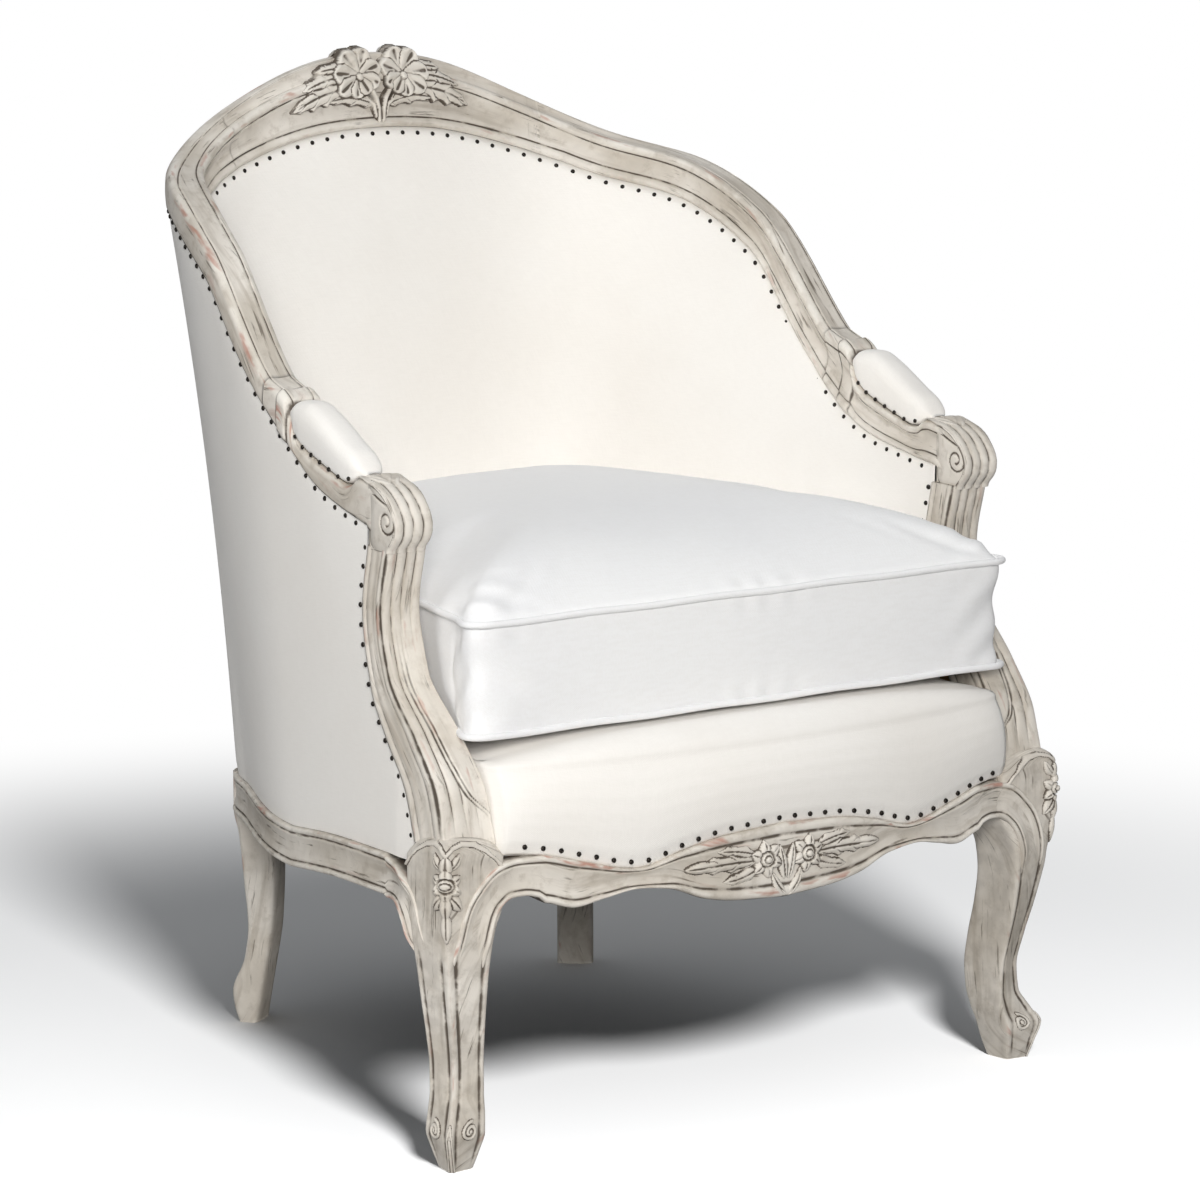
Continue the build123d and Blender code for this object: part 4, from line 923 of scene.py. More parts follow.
# height, reach of the outer and inner corners, place of the side corners and their half spread
LEG = [(0, 20.5, -22.5, 0, 17), (17, 26, -29.5, 0, 23.5), (36, 32.5, -35.5, 0, 29.5),
       (52, 21.5, -41.5, -5, 28.5), (70, 9, -46.5, -7, 27), (95, 6.5, -48.5, -6, 27),
       (125, 13, -45.5, -1, 29), (160, 23.5, -39.5, 5, 32.5),
       (192, 32, -36.5, 8, 36), (216, 37.5, -39, 9, 40), (232, 40.5, -44, 5, 43), (243, 42, -50, -1, 46.5),
       (252, BLOCK_REACH - 5, -BLOCK_REACH - 5, -5, BLOCK_REACH)]

LEG_SIDE = 30  # points on each side of a leg's section
LEG_FLAT = 304  # height of the leg's straight part; above it the section shrinks to a rounded top
LEG_CAP = [(LEG_FLAT, 0), (307, 1.2), (310, 3.5), (313, 7), (315, 12), (316, 20)]

def leg_point(a, b, z):
    """Point from the leg's diagonal axis: a out to the corner of the chair, b across."""
    return (FOOT_X + (a + b) / sqrt(2), FOOT_Y + (b - a) / sqrt(2), z)

def leg_ring(z, shrink=0.0):
    """Soft-cornered section with its moulding: points, wax (with painted shade over the whole leg) and wear,
    from the outer corner round.
    """
    outer, inner, mid, half = row_at(LEG, z)
    outer, inner, half = outer - shrink, inner + shrink, half - shrink
    corners = [(outer, 0), (mid, half), (inner, 0), (mid, -half)]
    n = LEG_SIDE
    p = np.array([[a[k] + (b[k] - a[k]) * i / n for k in (0, 1)]
                  for a, b in zip(corners, corners[1:] + corners[:1]) for i in range(n)])
    for _ in range(14):
        p = (np.roll(p, 1, 0) + 2 * p + np.roll(p, -1, 0)) / 4
    t = np.roll(p, -1, 0) - np.roll(p, 1, 0)
    normal = np.stack([t[:, 1], -t[:, 0]], -1) / np.linalg.norm(t, axis=1, keepdims=True)
    i = np.arange(4 * n)
    s = np.minimum(i, 4 * n - i) / n
    shown = smooth([(4, 0), (20, 1), (196, 1), (214, 0)], z)
    spine = np.exp(-(s / 0.10) ** 2)
    line = np.exp(-((s - 0.19) / 0.035) ** 2)
    rim = np.exp(-((s - 0.80) / 0.03) ** 2)
    bead = np.exp(-((s - 0.92) / 0.08) ** 2)
    lift = shown * (1.3 * spine - 1.5 * line - 1.2 * rim + 0.7 * bead)
    # painted shade: the base of 0.27 darkens the whole leg for the lower light near the floor; the lines and
    # rim add wax in the grooves
    wax = 0.27 + shown * np.clip(line + rim, 0, 0.73)
    wear = shown * np.clip(0.8 * spine + 0.6 * bead, 0, 1)
    return p + normal * lift[:, None], wax, wear

def shoulder(b, z):
    """How far the leg's top edge falls away from its corner, as the two lobes of its carved panel do."""
    return 17 * min(1, max(0, (z - 284) / 30)) * (abs(b) / 48) ** 2.2

def leg_mesh():
    levels = [(0, 0.8)] + [(z, 0) for z in between(0, LEG_FLAT, 190)[1:]] + LEG_CAP[1:]
    rows = []
    for z, shrink in levels:
        ring = zip(*leg_ring(min(z, LEG_FLAT), shrink))
        rows.append([(*leg_point(a, b, z - shoulder(b, z)), wax, wear) for (a, b), wax, wear in ring])
    return marked("front_leg_right_look", rows, wrap_n=True, caps=True)

both(leg_mesh(), "front_leg", PAINT, "painted_wood", nodes=["front_leg"])

# One band of moulding runs along the apron and down the face of each front leg
LEG_EDGE = FOOT_X - 5 / sqrt(2) - 34

def front_low(x):
    """Lower edge of the apron."""
    p = [(0, 0), (0.2, 4), (0.31, 10), (0.44, 24), (0.56, 28), (0.68, 22), (0.77, 17), (0.86, 24), (1, 31)]
    return SEAT_Z - 80 + smooth(p, abs(x) / LEG_EDGE)

def leg_side(z, way):
    """Ends of one outer face of the leg at a height: its side corner and its outer corner."""
    outer, _, mid, half = row_at(LEG, min(z, BLOCK_Z))
    return leg_point(mid, way * half, z)[:2], leg_point(outer, 0, z)[:2]

def front_y(x, z):
    """Depth of the face shared by the apron and the front of the leg."""
    w = ease((abs(x) - 278) / 26)
    if w == 0:
        return front_face(x)
    (x0, y0), (x1, y1) = leg_side(z, -1)
    leg = y0 + (y1 - y0) * max(-0.2, min(1, (abs(x) - x0) / (x1 - x0)))
    return front_face(x) * (1 - w) + leg * w

def side_x(y, z):
    """Face of the side rail, running into the side face of the leg."""
    (x0, y0), (x1, y1) = leg_side(z, 1)
    leg = x0 + (x1 - x0) * max(-0.2, min(1, (y - y0) / (y1 - y0)))
    w = ease((-y - 196) / 40)
    return (HALF + THICK - flare(at_y(y))) * (1 - w) + leg * w

# share of the band's height, sunk depth, wax and wear across its moulding
BAND = [(0.0, 3.5, 1, 0), (0.02, 0.5, 0.2, 0), (0.05, -1.6, 0, 0.7), (0.09, -2.2, 0, 0.9),
        (0.13, -1.6, 0, 0.6), (0.165, 0.2, 0.6, 0), (0.18, 1.3, 1, 0), (0.20, 0.3, 0.5, 0),
        (0.24, -0.4, 0, 0.2), (0.32, 0.5, 0.1, 0), (0.42, 1.3, 0.2, 0), (0.52, 1.6, 0.2, 0),
        (0.62, 1.4, 0.2, 0), (0.72, 0.6, 0.1, 0), (0.80, -0.3, 0, 0.3), (0.835, 0.5, 0.6, 0),
        (0.85, 1.5, 1, 0), (0.865, 0.4, 0.6, 0), (0.90, -1.2, 0, 0.7), (0.94, -1.5, 0, 1),
        (0.975, -0.6, 0, 1), (1.0, 1.5, 0.3, 0.3)]
BAND = [(v, *row_at(BAND, v)) for v in between(0, 1, 64)]
BAND_HIGH, BAND_OUT = 40, 1.4  # height of the side and back bands, and how far all bands stand out
# upper and lower edges of the band where it turns down a leg: share of the way, place across and height
ARCH_TOP = [(0, 262, 291.5), (0.15, 284, 291), (0.3, 306, 287), (0.45, 327, 271), (0.6, 341, 253),
            (0.75, 348, 234), (0.9, 352.5, 212), (1, 354.5, 194)]
ARCH_LOW = [(0, 262, 251.5), (0.15, 277, 255), (0.3, 291, 254), (0.45, 302, 248.5), (0.6, 309.5, 239),
            (0.75, 314.5, 226), (0.9, 318.5, 207), (1, 319.5, 194)]
SIDE_TOP = [(0, -190, 282), (0.2, -214, 277), (0.35, -232, 270.5), (0.5, -246, 261), (0.62, -254, 249),
            (0.74, -261, 234), (0.88, -270, 213), (1, -276, 196)]
SIDE_LOW = [(0, -190, 242), (0.2, -208, 243), (0.35, -222, 241), (0.5, -233, 234), (0.62, -240, 224),
            (0.74, -245, 214), (0.88, -249, 204), (1, -250, 196)]

def sink(z):
    """How far the bands dip into the legs where they end."""
    return 5 * min(1, max(0, (226 - z) / 34)) ** 2

def band_row(low, top, place, under, behind):
    """Row across a band from its lower to its upper edge; under and behind are its turned-back edges."""
    line = []
    for v, deep, wax, wear in BAND:
        a, z = low[0] + (top[0] - low[0]) * v, low[1] + (top[1] - low[1]) * v
        line.append((*place(a, z, deep), wax, wear))
    return [(*under, 1, 0)] + line + [(*behind, 1, 0)]

def front_band():
    pairs = [((x, front_low(x)), (x, front_top(x))) for x in between(0, 258, 110)]
    pairs += [(row_at(ARCH_LOW, t), row_at(ARCH_TOP, t)) for t in between(0.02, 1, 70)]
    pairs = [((-a[0], a[1]), (-b[0], b[1])) for a, b in reversed(pairs[1:])] + pairs
    rows = []
    for low, top in pairs:
        under = (low[0], front_y(*low) + (30 if abs(low[0]) < 285 else 8), low[1] + 2)
        behind = (top[0], front_y(*top) + 12, top[1])
        rows.append(band_row(low, top, lambda x, z, deep: (x, front_y(x, z) - BAND_OUT + deep + sink(z), z),
                             under, behind))
    return marked("front_seat_rail_look", rows, flip=True)

def rail_row(u):
    """Row of the band along the side or back seat rail."""
    face, top = THICK - flare(u), side_top(u)
    low = top - BAND_HIGH
    return band_row((u, low), (u, top), lambda u, z, deep: at(u, face + BAND_OUT - deep, z),
                    at(u, face - 26, low + 2), at(u, face - 12, top))

def side_band():
    rows = [rail_row(u) for u in between(LEG_AT + 0.03, 1, 100)[:-1] + between(1, at_y(-186), 60)]
    for t in between(0, 1, 60):
        low, top = row_at(SIDE_LOW, t), row_at(SIDE_TOP, t)
        under, behind = (side_x(*low) - 20, low[0], low[1] + 2), (side_x(*top) - 12, top[0], top[1])
        rows.append(band_row(low, top, lambda y, z, deep: (
            side_x(y, z) + BAND_OUT - deep - 1.6 * sink(z) - 3 * t * t, y, z), under, behind))
    return marked("side_seat_rail_right_look", rows)

dress(front_band(), PAINT, "painted_wood", nodes=["front_seat_rail"])
both(side_band(), "side_seat_rail", PAINT, "painted_wood", nodes=["side_seat_rail"])
back_band = marked("back_seat_rail_look", [rail_row(at_x(x)) for x in between(-213, 213, 121)])
dress(back_band, PAINT, "painted_wood", nodes=["back_seat_rail"])

# Rear legs
REAR_FOOT, REAR_FACE = -30.6, THICK - flare(LEG_AT)
REAR_OUT = [(0, REAR_FOOT + 12), (14, REAR_FOOT + 17), (31, REAR_FOOT + 19.5), (67, REAR_FOOT + 6),
            (100, REAR_FOOT + 1.7), (150, REAR_FOOT + 6), (200, REAR_FACE - 5), (222, REAR_FACE),
            (266, REAR_FACE)]
REAR_IN = [(0, REAR_FOOT - 9.5), (50, REAR_FOOT - 18.5), (111, REAR_FOOT - 28), (165, REAR_FOOT - 30.5),
           (222, REAR_FACE - 42), (266, REAR_FACE - 42)]
REAR_HALF, REAR_TOP = 19.4, 263  # half width and height of the leg

def rear_leg():
    (x, y), (nx, ny) = plan(LEG_AT)
    rows = []
    for z in between(0, REAR_TOP, 120):
        a, b = smooth(REAR_IN, z), smooth(REAR_OUT, z)
        line = []
        for k in between(0, 2 * pi, 65)[:-1]:
            c, s = cos(k), sin(k)
            side = REAR_HALF * np.sign(s) * abs(s) ** 0.42
            groove = exp(-((abs(side) - 11) / 1.3) ** 2) * (1 if c > 0.2 else 0)
            o = (a + b) / 2 + (b - a) / 2 * np.sign(c) * abs(c) ** 0.42 - 1.2 * groove
            wear = 0.7 * exp(-((abs(c) - abs(s)) / 0.25) ** 2)
            # painted shade: the base of 0.22 darkens the whole rear leg for the lower light near the floor;
            # the groove adds wax
            line.append((x + nx * o - ny * side, y + ny * o + nx * side, z, min(1, 0.22 + groove), wear))
        rows.append(line)
    return marked("rear_leg_right_look", rows, wrap_n=True, caps=True)

both(rear_leg(), "rear_leg", PAINT, "painted_wood", nodes=["rear_leg"])

# Carving: height fields in millimetres over a face, kept only where they rise above it
def blur(h, times):
    """Soften a height field."""
    for _ in range(times):
        q = np.pad(h, 1, mode="edge")
        h = (q[:-2, 1:-1] + q[2:, 1:-1] + q[1:-1, :-2] + q[1:-1, 2:] + 2 * h) / 6
    return h

def relief(name, across, up, step, height, place, sunk=1.5, outline=1.0):
    """Carved piece: height gives millimetres over the face, place turns (across, up, height) into a point.

    Outside the carving the mesh lies sunk below the face, apart from an outline of wax round each form.
    """
    s, t = np.arange(across[0], across[1], step), np.arange(up[0], up[1], step)
    S, T = np.meshgrid(s, t, indexing="ij")
    h = np.maximum(height(S, T), 0)
    soft = blur(h, 7)
    wax, wear = np.clip((soft - h) * 5.0, 0, 1), np.clip((h - soft) * 0.9, 0, 1)
    carved = h > 0.05
    ground = blur(carved.astype(float), 1) > 0
    wax = np.where(carved, 0.2 + 0.8 * wax, outline)
    h = np.where(carved, h, np.where(ground, 0.3, -sunk))
    faces = grid_faces(*h.shape)
    faces = faces[ground.ravel()[faces].any(1)]
    used = np.unique(faces)
    order = np.zeros(h.size, int)
    order[used] = np.arange(len(used))
    flat = [a.ravel()[used] for a in (S, T, h)]
    points = [place(a, b, c) for a, b, c in zip(*flat)]
    return mesh(name, points, order[faces], {"cav": wax.ravel()[used], "edge": wear.ravel()[used]})

def leaf(S, T, a, b, half, lift, vein=0.4, lobes=0, bend=0.0):
    """Leaf or petal from a to b, with a sunk vein, lobed edges and a sideways bend."""
    dx, dz = b[0] - a[0], b[1] - a[1]
    k = hypot(dx, dz)
    along = ((S - a[0]) * dx + (T - a[1]) * dz) / k ** 2
    side = ((T - a[1]) * dx - (S - a[0]) * dz) / k
    inside = np.clip(along, 0, 1)
    side = side - bend * np.sin(pi * inside)
    notch = 0.32 * np.abs(np.cos(pi * lobes * inside)) if lobes else 0
    wide = half * np.sin(pi * inside ** 0.8) ** 0.75 * (1 - notch) + 1e-6
    q = np.clip(np.abs(side) / wide, 0, 1)
    h = lift * np.sqrt(1 - q ** 2) * (0.6 + 0.4 * np.sin(pi * inside))
    h = h - vein * lift * np.exp(-(side / (0.16 * half)) ** 2)
    if lobes:
        h = h - 0.3 * lift * np.exp(-(np.abs(np.sin(pi * lobes * (inside - 0.22 * q))) / 0.25) ** 2) * q
    return np.where((along > 0) & (along < 1) & (q < 1), np.maximum(h, 0.15 * lift), -1)

def gap_to(S, T, path):
    """Distance to a line of points."""
    best = np.full(S.shape, 1e9)
    for (x0, z0), (x1, z1) in zip(path, path[1:]):
        dx, dz = x1 - x0, z1 - z0
        f = np.clip(((S - x0) * dx + (T - z0) * dz) / (dx * dx + dz * dz + 1e-9), 0, 1)
        best = np.minimum(best, np.hypot(S - x0 - f * dx, T - z0 - f * dz))
    return best

def cord(S, T, path, radius, lift):
    """Round line along a path."""
    q = gap_to(S, T, path) / radius
    return np.where(q < 1, lift * np.sqrt(np.clip(1 - q * q, 0, 1)), -1)

def flower(S, T, c, r, lift, petals=6, turn=0.0):
    """Flower of pointed petals round a button with a ring."""
    h = np.full(S.shape, -1.0)
    for k in range(petals):
        a = turn + 2 * pi * k / petals
        d = np.array([cos(a), sin(a)])
        tall = lift * (1 if k % 2 else 0.8)
        h = np.maximum(h, leaf(S, T, c + 0.1 * r * d, c + r * d, 0.34 * r, tall, 0.22))
    d = np.hypot(S - c[0], T - c[1]) / r
    h = np.where(np.abs(d - 0.40) < 0.06, np.minimum(h, 0.25 * lift), h)
    h = np.maximum(h, np.where(d < 0.34, 1.2 * lift * np.sqrt(np.clip(1 - (d / 0.38) ** 2, 0, 1)), -1))
    return np.where(np.abs(d - 0.2) < 0.04, 0.7 * lift, h)

def highest(heights):
    """Uppermost of several height fields."""
    return np.maximum.reduce(list(heights))

def on_both_sides(height):
    """Carving that is the same on either side of its middle."""
    return lambda S, T: height(np.abs(S), T)

# Leaves from a to b, with their half width, lift, vein, lobes and bend
APRON_LEAVES = [((34, 262), (114, 260), 9.5, 4.4, 0.3, 4, 2.0),
                ((32, 255), (74, 245), 7.5, 3.8, 0.3, 2, -2.0),
                ((36, 268), (80, 275), 7.0, 3.8, 0.3, 2, 2.0), ((84, 263), (116, 262), 5.5, 5.0, 0.3),
                ((0, 224), (18, 250), 5.0, 4.2, 0.4, 0, -2.5), ((2, 240), (8, 274), 5.5, 4.2, 0.3)]
CREST_LEAVES = [((8, -34), (64, -25), 9, 3.6, 0.3, 3, 5.0), ((42, -15), (108, -23), 14, 4.6, 0.3, 4, 3.0),
                ((46, -2), (96, -6), 9, 5.4, 0.3, 3, 2.0), ((44, 6), (76, 8), 7, 6.0, 0.3, 2, 1.0)]
KNEE_LEAVES = [((0, 285), (0, 303), 6.5, 5.0, 0.3), ((3, 290), (14, 305), 4.6, 4.2, 0.3, 0, -1.5),
               ((3, 266), (15, 251), 6.5, 5.0, 0.3), ((0, 267), (0, 243), 5.6, 5.6, 0.3),
               ((0, 250), (0, 220), 5.2, 4.4, 0.25)]

def leaves(S, T, table):
    return highest(leaf(S, T, *row) for row in table)

def apron_carving(S, T):
    return np.maximum(leaves(S, T, APRON_LEAVES), flower(S, T, np.array([24.5, 262.0]), 19.0, 6.4, 6, 0.35))

carved = relief("apron_carving", (-116, 117), (222, 284), 0.8, on_both_sides(apron_carving),
                lambda x, z, h: (x, front_face(x) - 1.0 - h, z))
dress(carved, PAINT, "painted_wood")

def petal(S, T, centre, turn, length, half, lift):
    """Broad petal with a round end and a hollow down its middle."""
    along = ((S - centre[0]) * cos(turn) + (T - centre[1]) * sin(turn)) / length
    side = (T - centre[1]) * cos(turn) - (S - centre[0]) * sin(turn)
    tip = np.clip((along - 0.6) / 0.4, 0, 1)
    wide = half * np.where(along > 0.6, np.sqrt(1 - tip ** 2), 0.3 + 0.7 * np.clip(along / 0.6, 0, 1)) + 1e-6
    q = np.clip(np.abs(side) / wide, 0, 1)
    hollow = 0.3 * np.exp(-(side / (0.3 * half)) ** 2)
    h = lift * (0.45 + 0.55 * np.clip(along, 0, 1)) * (1 - hollow) * np.sqrt(1 - q ** 6)
    return np.where((along > 0) & (along < 1) & (q < 1), h, -1)

# The crest's flower: its middle, then turn, length, half width and lift of each petal, front ones last
CREST_FLOWER = (27, -4)
CREST_PETALS = [(108, 30, 13, 8.4), (58, 31, 13, 9.0), (156, 28, 11, 8.6), (14, 31, 12, 9.6),
                (-28, 29, 11, 8.6), (200, 24, 10, 9.0), (-78, 22, 10, 7.8), (238, 21, 9, 7.2)]

def crest_carving(S, T):
    stem = cord(S, T, [(2.6, -50), (3.2, -38), (5.5, -28), (11, -18), (18, -10)], 2.5, 4.4)
    twig = cord(S, T, [(6, -46), (8.5, -34), (15, -29), (26, -26)], 1.9, 3.4)
    h = highest([stem, twig, leaves(S, T, CREST_LEAVES)])
    for turn, length, half, lift in CREST_PETALS:
        each = petal(S, T, CREST_FLOWER, radians(turn), length, half, lift)
        h = np.where(each > 0, each, h)
    button = np.hypot(S - CREST_FLOWER[0], T - CREST_FLOWER[1]) / 3.6
    return np.where(button < 1, 5.0 + 2.0 * np.sqrt(np.clip(1 - button ** 2, 0, 1)), h)

def crest_place(x, t, h):
    """Point of the crest's carving, t above the ridge, leaning back with the rail's top."""
    u = at_x(x)
    z = ridge_z(u) + t
    out = 0.3 + 9.0 * smooth([(-6, 0), (6, 0.6), (18, 1)], t)
    return at(u, out - 0.5 - h, z)

def crest_back(x, t, h):
    """Back of the carving where it stands above the rail."""
    u = at_x(x)
    return at(u, 20 + 0.8 * h, ridge_z(u) + t)

carved = relief("crest_carving", (-109, 110), (-53, 30), 0.8, on_both_sides(crest_carving), crest_place,
                sunk=5.0)
dress(carved, PAINT, "painted_wood")
carved = relief("crest_carving_back", (-106, 107), (4, 30), 1.2, on_both_sides(crest_carving), crest_back,
                sunk=4.0, outline=0.1)
carved.data.flip_normals()
dress(carved, PAINT, "painted_wood")

class LegFace:
    """Outer faces of a front leg by distance round from the corner, at any height."""

    def __init__(self):
        self.rows = {}

    def row(self, z):
        key = round(z, 3)
        if key not in self.rows:
            shrink = float(np.interp(z, *zip(*LEG_CAP)))
            p, _, _ = leg_ring(min(z, LEG_FLAT), shrink)
            # the two faces beside the outer corner, which lies in the middle
            middle = 3 * LEG_SIDE // 2
            p = np.roll(p, middle, 0)[:2 * middle + 1]
            t = np.gradient(p, axis=0)
            t /= np.linalg.norm(t, axis=1, keepdims=True)
            s = steps_along(p)
            self.rows[key] = (s - s[middle], p, np.stack([t[:, 1], -t[:, 0]], -1))
        return self.rows[key]

    def place(self, x, z, h):
        s, p, n = self.row(z)
        a, b, na, nb = (float(np.interp(x, s, v)) for v in (p[:, 0], p[:, 1], n[:, 0], n[:, 1]))
        return leg_point(a + na * h, b + nb * h, z - shoulder(b, z))

leg_face = LegFace()

def knee_carving(S, T):
    arch = [(62, 286), (54, 300), (43, 308), (29, 312), (15, 312.5), (6, 309.5), (0, 303)]
    rosette = flower(S, T, np.array([0.0, 275.5]), 16.5, 6.4, 6, 0.52)
    return highest([cord(S, T, arch, 2.2, 2.6), rosette, leaves(S, T, KNEE_LEAVES)])

carved = relief("knee_carving_right", (-63, 64), (220, 315), 0.75, on_both_sides(knee_carving),
                leg_face.place)
both(carved, "knee_carving", PAINT, "painted_wood")

def curl(centre, r0, r1, turns, way=1, n=60):
    """Spiral line from its outer end in to the eye, starting at the top."""
    out = []
    for i in range(n):
        a = 2 * pi * turns * i / (n - 1)
        r = r0 + (r1 - r0) * i / (n - 1)
        out.append((centre[0] + way * r * sin(a), centre[1] + r * cos(a)))
    return out

def toe_carving(S, T):
    eye = (24, 39)
    scroll = cord(S, T, curl(eye, 8.5, 2.5, 1.4, -1), 1.7, 2.4)
    button = cord(S, T, [eye, (eye[0] + 0.1, eye[1])], 2.4, 3.0)
    return highest([scroll, button, cord(S, T, [(2.2, 1), (2.2, 34), (0, 46)], 1.0, 1.4)])

carved = relief("toe_carving_right", (-36, 37), (0.5, 52), 0.6, on_both_sides(toe_carving), leg_face.place)
both(carved, "toe_carving", PAINT, "painted_wood")

VOLUTE = (-197.5, 595.5)  # eye of the arm's scroll

def scroll_carving(S, T):
    """Volute on the faces of the arm's end, inside its rim."""
    shape = smooth_path(SCROLL_LINE, 60)
    front = np.interp(T, shape[::-1, 1], shape[::-1, 0])
    order = np.argsort(shape[:, 0])
    roof = np.where(S > -206, np.interp(S, shape[order, 0], shape[order, 1]),
                    np.interp(S, shape[::-1, 0], shape[::-1, 1]))
    inside = (S > front + 1.5) & (T < roof + 40)
    inside &= (S < -166) & (T > 567)
    top = np.array([q for q in shape if q[1] > 592])
    inside &= T < np.interp(S, top[::-1, 0], top[::-1, 1]) - 1.0
    line = [(-150, 622.5), (-165, 621.5), (-178, 618), (-189, 613.5)] + curl(VOLUTE, 15.0, 3.5, 1.45, -1)
    d = gap_to(S, T, line)
    h = 3.0 - 2.0 * np.exp(-(d / 1.25) ** 2)
    eye = np.hypot(S - VOLUTE[0], T - VOLUTE[1])
    h = np.where(eye < 14, h + 0.9 * (1 - eye / 14), h)
    h = h - 3.4 * np.clip((S + 182) / 16, 0, 1) ** 2 - 2.4 * np.clip((577 - T) / 10, 0, 1) ** 2
    return np.where(inside, np.maximum(h, 0.06), -1)

for name, x, way in (("scroll_outside", SCROLL_OUT, 1), ("scroll_inside", SCROLL_IN, -1)):
    carved = relief(name + "_right", (-215, -150), (566, 634), 0.7, scroll_carving,
                    lambda y, z, h, x=x, way=way: (x + way * (h - 3.2), y, z), 2.0)
    if way < 0:
        carved.data.flip_normals()
    both(carved, name, PAINT, "painted_wood")

# Nail heads
NAIL_STEP, PAD_NAIL_STEP, NAIL_SIDES = 18.5, 15.5, 10
NAIL_RINGS = ((1.0, -0.4), (0.95, 0.35), (0.62, 0.82))  # shares of the radius and of the lift

def nails(name, spots, radius=2.5, lift=1.5):
    """Domed nail heads at (place, outward direction) spots, in one mesh."""
    n_sides = NAIL_SIDES
    around = [(k, (k + 1) % n_sides) for k in range(n_sides)]
    points, faces = [], []
    for place, way in spots:
        n = Vector(way).normalized()
        a = n.orthogonal().normalized()
        b = n.cross(a)
        base = len(points)
        for r, h in NAIL_RINGS:
            for k in range(n_sides):
                t = 2 * pi * k / n_sides
                points.append(tuple(Vector(place) + (a * cos(t) + b * sin(t)) * radius * r + n * (h * lift)))
        points.append(tuple(Vector(place) + n * lift))
        for low in (base, base + n_sides):
            high = low + n_sides
            faces += [(low + k, low + after, high + after, high + k) for k, after in around]
        last = base + 2 * n_sides
        faces += [(last + k, last + after, last + n_sides) for k, after in around]
    return mesh(name, points, faces)

def spaced(path, step):
    """Even places along a line of points, and how many points along it each lies."""
    p = np.array(path, float)
    s = steps_along(p)
    count = max(1, int(round(s[-1] / step)))
    w = (np.arange(count) + 0.5) * s[-1] / count
    return np.stack([np.interp(w, s, p[:, k]) for k in range(3)], -1), np.interp(w, s, np.arange(len(p)))

def cover_nails():
    """Nail places inside the tub, and on the right half of its outside."""
    us = between(-at_y(-150), -1, 60)[:-1]
    us += [at_x(x) for x in between(-317.9, 317.9, 500)]
    us += between(1, at_y(-150), 60)[1:]
    path = [at(u, pad_face(u, inside_edge(u) - 6) + 1.2, inside_edge(u) - 6.5) for u in us]
    inside, outside = [], []
    for q, w in zip(*spaced(path, NAIL_STEP)):
        nx, ny = plan(us[int(w)])[1]
        inside.append((q, (-nx, -ny, 0.05)))
    for side in (1, -1):
        down = [(side * 316.2, rear_at(z) + 6.5, z) for z in between(572, 505, 12)]
        inside += [(q, (-side, -0.1, 0)) for q in spaced(down, NAIL_STEP)[0]]
    us = [at_x(x) for x in between(0, 317.9, 400)] + between(1, at_y(-150), 80)
    path = [at(u, THICK - 2.0, outside_edge(u) - 6) for u in us]
    for q, w in zip(*spaced(path, NAIL_STEP)):
        nx, ny = plan(us[int(w)])[1]
        outside.append((q, (nx, ny, 0)))
    down = [(HALF + THICK - 2.2, rear_at(z) + 6.5, z) for z in between(576, 300, 60)]
    outside += [(q, (1, 0.1, 0)) for q in spaced(down, NAIL_STEP)[0]]
    return inside, outside

def and_mirrored(spots):
    """Nail places together with those on the other side of the chair."""
    return spots + [((-p[0], p[1], p[2]), (-w[0], w[1], w[2])) for p, w in spots]

inside_spots, outside_spots = cover_nails()
dress(nails("nails_inside", inside_spots), NAIL, "screw_steel")
dress(nails("nails_outside", and_mirrored(outside_spots)), NAIL, "screw_steel")
apron_path = [(x, front_face(x) - 2.5, front_top(x) + 6.5) for x in between(-288, 288, 300)]
apron_spots = [(q, (0, -1, 0.1)) for q in spaced(apron_path, NAIL_STEP)[0]]
dress(nails("nails_apron", apron_spots), NAIL, "screw_steel")
pad_spots = []
for face in (-1, 1):
    path = [(ARM_X + face * (smooth(PAD_HALF, y) + 0.9), y, ARM_Z + smooth(PAD_SEAT, y) + 5.5)
            for y in between(-34, -136, 60)]
    pad_spots += [(q, (face, 0, 0.1)) for q in spaced(path, PAD_NAIL_STEP)[0]]
dress(nails("nails_arm_pads", and_mirrored(pad_spots), 2.2), NAIL, "screw_steel")

# Floor, light and camera
def floor_material():
    """White floor that keeps the shadow near the chair and fades into the white beyond it."""
    n = Nodes(bpy.data.materials.new("floor_white"))
    where = n.new("VectorMath", operation="LENGTH")
    n.put(where.inputs[0], n.new("TexCoord").outputs["Object"])
    seen = n.new("LightPath").outputs["Is Camera Ray"]
    plain = n.new("BsdfDiffuse")
    n.put(plain.inputs["Color"], n.mix(seen, (0.28, 0.28, 0.28, 1), (0.95, 0.95, 0.95, 1)))
    glow = n.new("Emission")
    glow.inputs["Strength"].default_value = 1.0
    far = n.math("MULTIPLY", n.steps(where.outputs["Value"], 0.7, 1.7), seen)
    n.put(n.tree.nodes["Material Output"].inputs["Surface"], n.blend(far, plain, glow))
    return n.owner

def studio_world():
    """White to the camera, and a pale fill from above for everything else."""
    n = Nodes(bpy.data.worlds.new("studio"))
    n.tree.nodes.clear()
    sky = n.new("SeparateXYZ")
    n.put(sky.inputs[0], n.new("TexCoord").outputs["Generated"])
    fill, white = n.new("Background"), n.new("Background")
    fill.inputs[0].default_value = (0.94, 0.97, 1.0, 1)
    n.put(fill.inputs[1], n.steps(sky.outputs[2], 0.1, 0.85, 0.02, 0.32, "LINEAR"))
    white.inputs[0].default_value = (1, 1, 1, 1)
    white.inputs[1].default_value = 1.0
    seen = n.new("LightPath").outputs["Is Camera Ray"]
    n.put(n.new("OutputWorld").inputs[0], n.blend(seen, fill, white))
    return n.owner

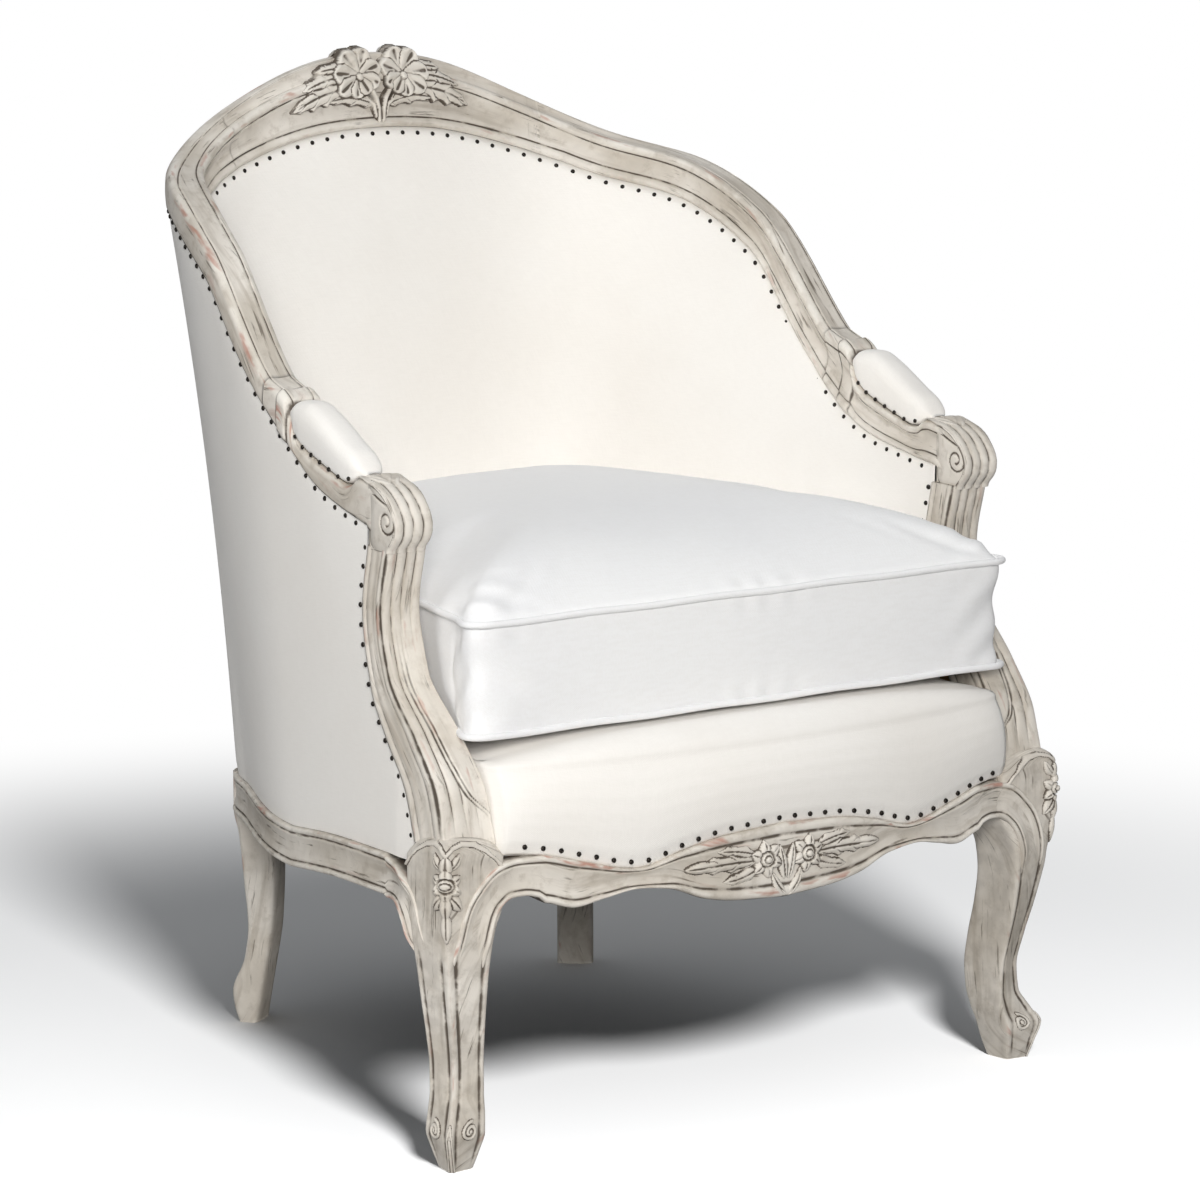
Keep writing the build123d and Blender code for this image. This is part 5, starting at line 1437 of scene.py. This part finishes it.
floor = bpy.data.objects.new("floor", bpy.data.meshes.new("floor"))
floor.data.from_pydata([(-30, -30, 0), (30, -30, 0), (30, 30, 0), (-30, 30, 0)], [], [(0, 1, 2, 3)])
floor.data.materials.append(floor_material())
scene.collection.objects.link(floor)
scene.world = studio_world()

def lamp(name, place, target, size, power, color=(1, 1, 1)):
    """Round soft lamp aimed at a point, in metres and watts."""
    light = bpy.data.lights.new(name, "AREA")
    light.shape = "DISK"
    light.size = size
    light.energy = power
    light.color = color
    obj = bpy.data.objects.new(name, light)
    obj.location = place
    obj.rotation_euler = (Vector(target) - Vector(place)).to_track_quat("-Z", "Y").to_euler()
    scene.collection.objects.link(obj)
    return obj

def floor_only(obj, only):
    """Let a lamp light the floor alone, or everything but the floor."""
    group = bpy.data.collections.new(obj.name + "_receivers")
    group.objects.link(floor)
    obj.light_linking.receiver_collection = group
    group.collection_objects[0].light_linking.link_state = "INCLUDE" if only else "EXCLUDE"

key = lamp("key", (-2.3, -3.35, 1.75), (0, 0, 0.5), 1.3, 115, (1.0, 0.985, 0.96))
left = lamp("left", (-3.4, -0.4, 1.3), (0, 0, 0.45), 1.6, 20, (0.97, 0.985, 1.0))
top = lamp("top", (0.2, -0.6, 3.4), (0, 0, 0.3), 2.0, 18, (0.95, 0.97, 1.0))
shade = lamp("floor_light", (-1.3, -3.4, 2.6), (0.0, 0.1, 0), 0.8, 270)
behind = lamp("behind", (1.2, 3.4, 2.2), (0, 0, 0.5), 2.2, 16)
for each in (key, left, top, behind):
    floor_only(each, False)
floor_only(shade, True)

# Camera at the photograph's angle
VIEW_TURN, VIEW_RISE, VIEW_DISTANCE = radians(-35.688), radians(9.934), 4.786165
VIEW_MIDDLE = Vector((0.023881, -0.027, 0.456718))
back = Vector((sin(VIEW_TURN) * cos(VIEW_RISE), -cos(VIEW_TURN) * cos(VIEW_RISE), sin(VIEW_RISE)))
camera = bpy.data.objects.new("camera", bpy.data.cameras.new("camera"))
camera.data.lens = 144.41
camera.data.sensor_width = 36
camera.location = VIEW_MIDDLE + back * VIEW_DISTANCE
camera.rotation_euler = (-back).to_track_quat("-Z", "Y").to_euler()
scene.collection.objects.link(camera)
scene.camera = camera
scene.view_settings.view_transform = "Standard"
